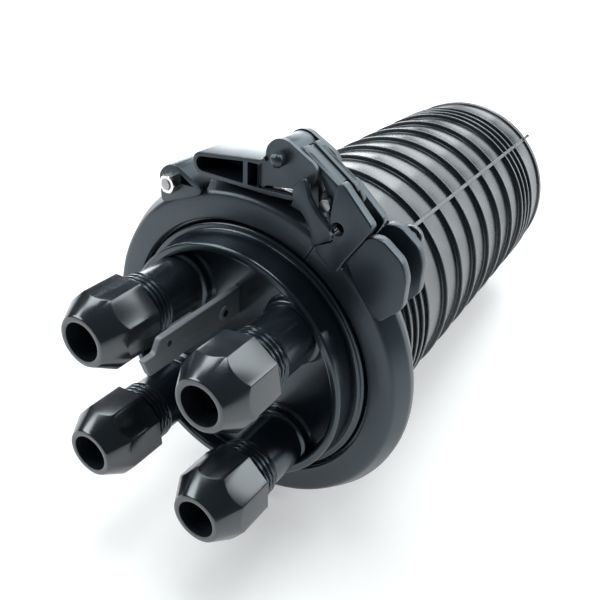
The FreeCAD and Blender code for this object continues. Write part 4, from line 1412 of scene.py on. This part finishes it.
        def ring(z: float, most: float) -> list[Vector]:
            """Hexagon cut to a round of the given radius."""
            rise = Vector((0.0, 0.0, z))
            return [middle + spot.normalized() * min(spot.length, most) + rise for spot in spots]

        nut.skin([ring(front, 5.1), ring(front + 0.4, 5.8), ring(nut_high - 0.4, 5.8),
                  ring(nut_high, 5.1), ring(nut_high, 3.4), ring(nut_high - 0.4, 3.0),
                  ring(front, 3.0)], loop=True)
        dresser.piece(nut.make("lock_nut_hex"), Body.CLOSURE.value, Slot.NICKEL, "lock_nut")

    def dress(self, dresser: Dresser) -> None:
        """Build and finish the latch.

        Args:
            dresser: Gives pieces their finish, body and slot.
        """
        dresser.piece(self.lever(), Body.LEVER.value, Slot.LATCH, "latch_lever")
        dresser.piece(self.link(), Body.LINK.value, Slot.LATCH, "latch_link")
        self.pins(dresser)
        self.lock_bolt(dresser)


@dataclass
class Studio:
    """Floor, lights and camera, in metres.

    Attributes:
        eye: Place of the camera.
        look: Direction of view.
        up: Camera's up direction.
        focal: Focal length in pixels of the frame.
        frame: Width of the frame in pixels.
        sensor: Width of the camera's sensor in millimetres.
        floor_half: Half of the floor's width.
        tip: How far the floor leans, in degrees, where the closure lies on its dome's rim.
        heel: Where the leaning floor meets the ground level.
        floor_gap: Drop of the floor below the closure.
        floor_colour: Colour of the floor.
        floor_roughness: Roughness of the floor.
        floor_glow: Light added to the floor where it is seen.
        sky_colour: Colour of the light from all round.
        sky_level: Level of the light from all round.
        panel_distance: Distance of the light panels.
        panel_height: Height of each panel's face.
        panel_colour: Colour of the panels.
        panels: Name, direction around, direction above, width and level of each light panel.
    """

    eye: tuple[float, float, float] = (0.2168, -0.4267, 0.3704)
    look: tuple[float, float, float] = (-0.4425, 0.7326, -0.5171)
    up: tuple[float, float, float] = (-0.3156, 0.4125, 0.8545)
    focal: float = 740.0
    frame: float = 600.0
    sensor: float = 36.0
    floor_half: float = 9.0
    tip: float = 5.9
    heel: float = -0.106
    floor_gap: float = 0.0005
    floor_colour: tuple[float, float, float, float] = (0.775, 0.765, 0.755, 1.0)
    floor_roughness: float = 0.6
    floor_glow: float = 0.32
    sky_colour: tuple[float, float, float, float] = (0.8, 0.92, 1.0, 1.0)
    sky_level: float = 0.13
    panel_distance: float = 2.2
    panel_height: float = 0.85
    panel_colour: tuple[float, float, float] = (0.94, 0.98, 1.0)
    panels: tuple[tuple[str, float, float, float, float], ...] = (
        ("panel_over", 0.0, 88.0, 1.2, 6.4),
        ("panel_right", 38.0, 31.0, 1.2, 4.6),
        ("panel_back_right", 72.0, 32.0, 1.2, 2.7),
        ("panel_back", 108.0, 32.0, 1.2, 4.4),
        ("panel_low_right", 60.0, 10.0, 1.2, 2.1),
        ("panel_low_left", 139.0, 10.0, 1.8, 5.6),
        ("panel_high_right", 60.0, 55.0, 1.2, 4.6),
        ("panel_high_left", 180.0, 55.0, 1.2, 6.0),
        ("panel_front_left", 216.0, 32.0, 1.2, 6.4),
    )

    def camera(self) -> None:
        """Camera at the photograph's place."""
        data = bpy.data.cameras.new("camera")
        data.sensor_width = self.sensor
        data.lens = self.sensor * self.focal / self.frame
        data.clip_start = 0.01
        data.clip_end = 50.0
        thing = bpy.data.objects.new("camera", data)
        back = -Vector(self.look).normalized()
        right = Vector(self.up).cross(back).normalized()
        up = back.cross(right)
        turn = Matrix((right, up, back)).transposed().to_4x4()
        thing.matrix_world = Matrix.Translation(self.eye) @ turn
        bpy.context.scene.collection.objects.link(thing)
        bpy.context.scene.camera = thing

    def floor(self) -> None:
        """Pale floor that keeps the shadow."""
        mesh = bmesh.new()
        bmesh.ops.create_grid(mesh, x_segments=24, y_segments=24, size=self.floor_half)
        data = bpy.data.meshes.new("floor")
        mesh.to_mesh(data)
        mesh.free()
        thing = bpy.data.objects.new("floor", data)
        lean = Matrix.Rotation(math.radians(self.tip), 4, "X")
        thing.matrix_world = Matrix.Translation((0.0, self.heel, -self.floor_gap)) @ lean
        bpy.context.scene.collection.objects.link(thing)
        material = bpy.data.materials.new("floor_white")
        material.use_nodes = True
        sketch = NodeSketch(material.node_tree)
        shader = material.node_tree.nodes["Principled BSDF"]
        shader.inputs["Roughness"].default_value = self.floor_roughness
        shader.inputs["Base Color"].default_value = self.floor_colour
        path = sketch.add("ShaderNodeLightPath")
        seen = sketch.math("MAXIMUM", path.outputs["Is Camera Ray"], path.outputs["Is Glossy Ray"])
        seen = sketch.math("MAXIMUM", seen, path.outputs["Is Transmission Ray"])
        shader.inputs["Emission Color"].default_value = (1.0, 1.0, 1.0, 1.0)
        glow = sketch.math("MULTIPLY", seen, self.floor_glow)
        sketch.wire(glow, shader.inputs["Emission Strength"])
        data.materials.append(material)

    def panel(self, name: str, around: float, above: float, width: float, level: float) -> None:
        """Soft light panel that faces the closure.

        Args:
            name: Name of the light.
            around: Direction from the closure, in degrees from the right, counter-clockwise from above.
            above: Height of that direction over the floor, in degrees.
            width: Width in metres.
            level: Brightness of its face.
        """
        data = bpy.data.lights.new(name, "AREA")
        data.shape = "RECTANGLE"
        data.size, data.size_y = width, self.panel_height
        data.energy = math.pi * width * self.panel_height * level
        data.color = self.panel_colour
        middle = Vector((0.0, 0.0, AXIS_HEIGHT * MM))
        turn, lift = math.radians(around), math.radians(above)
        flat = math.cos(lift)
        way = Vector((flat * math.cos(turn), flat * math.sin(turn), math.sin(lift)))
        thing = bpy.data.objects.new(name, data)
        thing.location = middle + way * self.panel_distance
        thing.rotation_euler = (-way).to_track_quat("-Z", "Y").to_euler()
        bpy.context.scene.collection.objects.link(thing)

    def light(self) -> None:
        """Plain soft studio light."""
        world = bpy.data.worlds.new("studio")
        world.use_nodes = True
        sky = world.node_tree.nodes["Background"]
        sky.inputs["Color"].default_value = self.sky_colour
        sky.inputs["Strength"].default_value = self.sky_level
        bpy.context.scene.world = world
        for panel in self.panels:
            self.panel(*panel)

    def build(self) -> None:
        """Set up the stage."""
        scene = bpy.context.scene
        scene.view_settings.view_transform = "Standard"
        self.floor()
        self.light()
        self.camera()


def main() -> None:
    """Build every sub-assembly in order and dress the stage."""
    logging.basicConfig(level=logging.INFO, format="%(name)s: %(message)s")
    dresser = Dresser()
    Dome().dress(dresser)
    PortBase().dress(dresser)
    for number, (place, turn) in enumerate(zip(port_places(), NUT_TURNS), 1):
        GlandNut(number, *place, turn).dress(dresser)
    Hoop().dress(dresser)
    Latch().dress(dresser)
    dresser.carry_over()
    Studio().build()


if __name__ == "__main__":
    main()
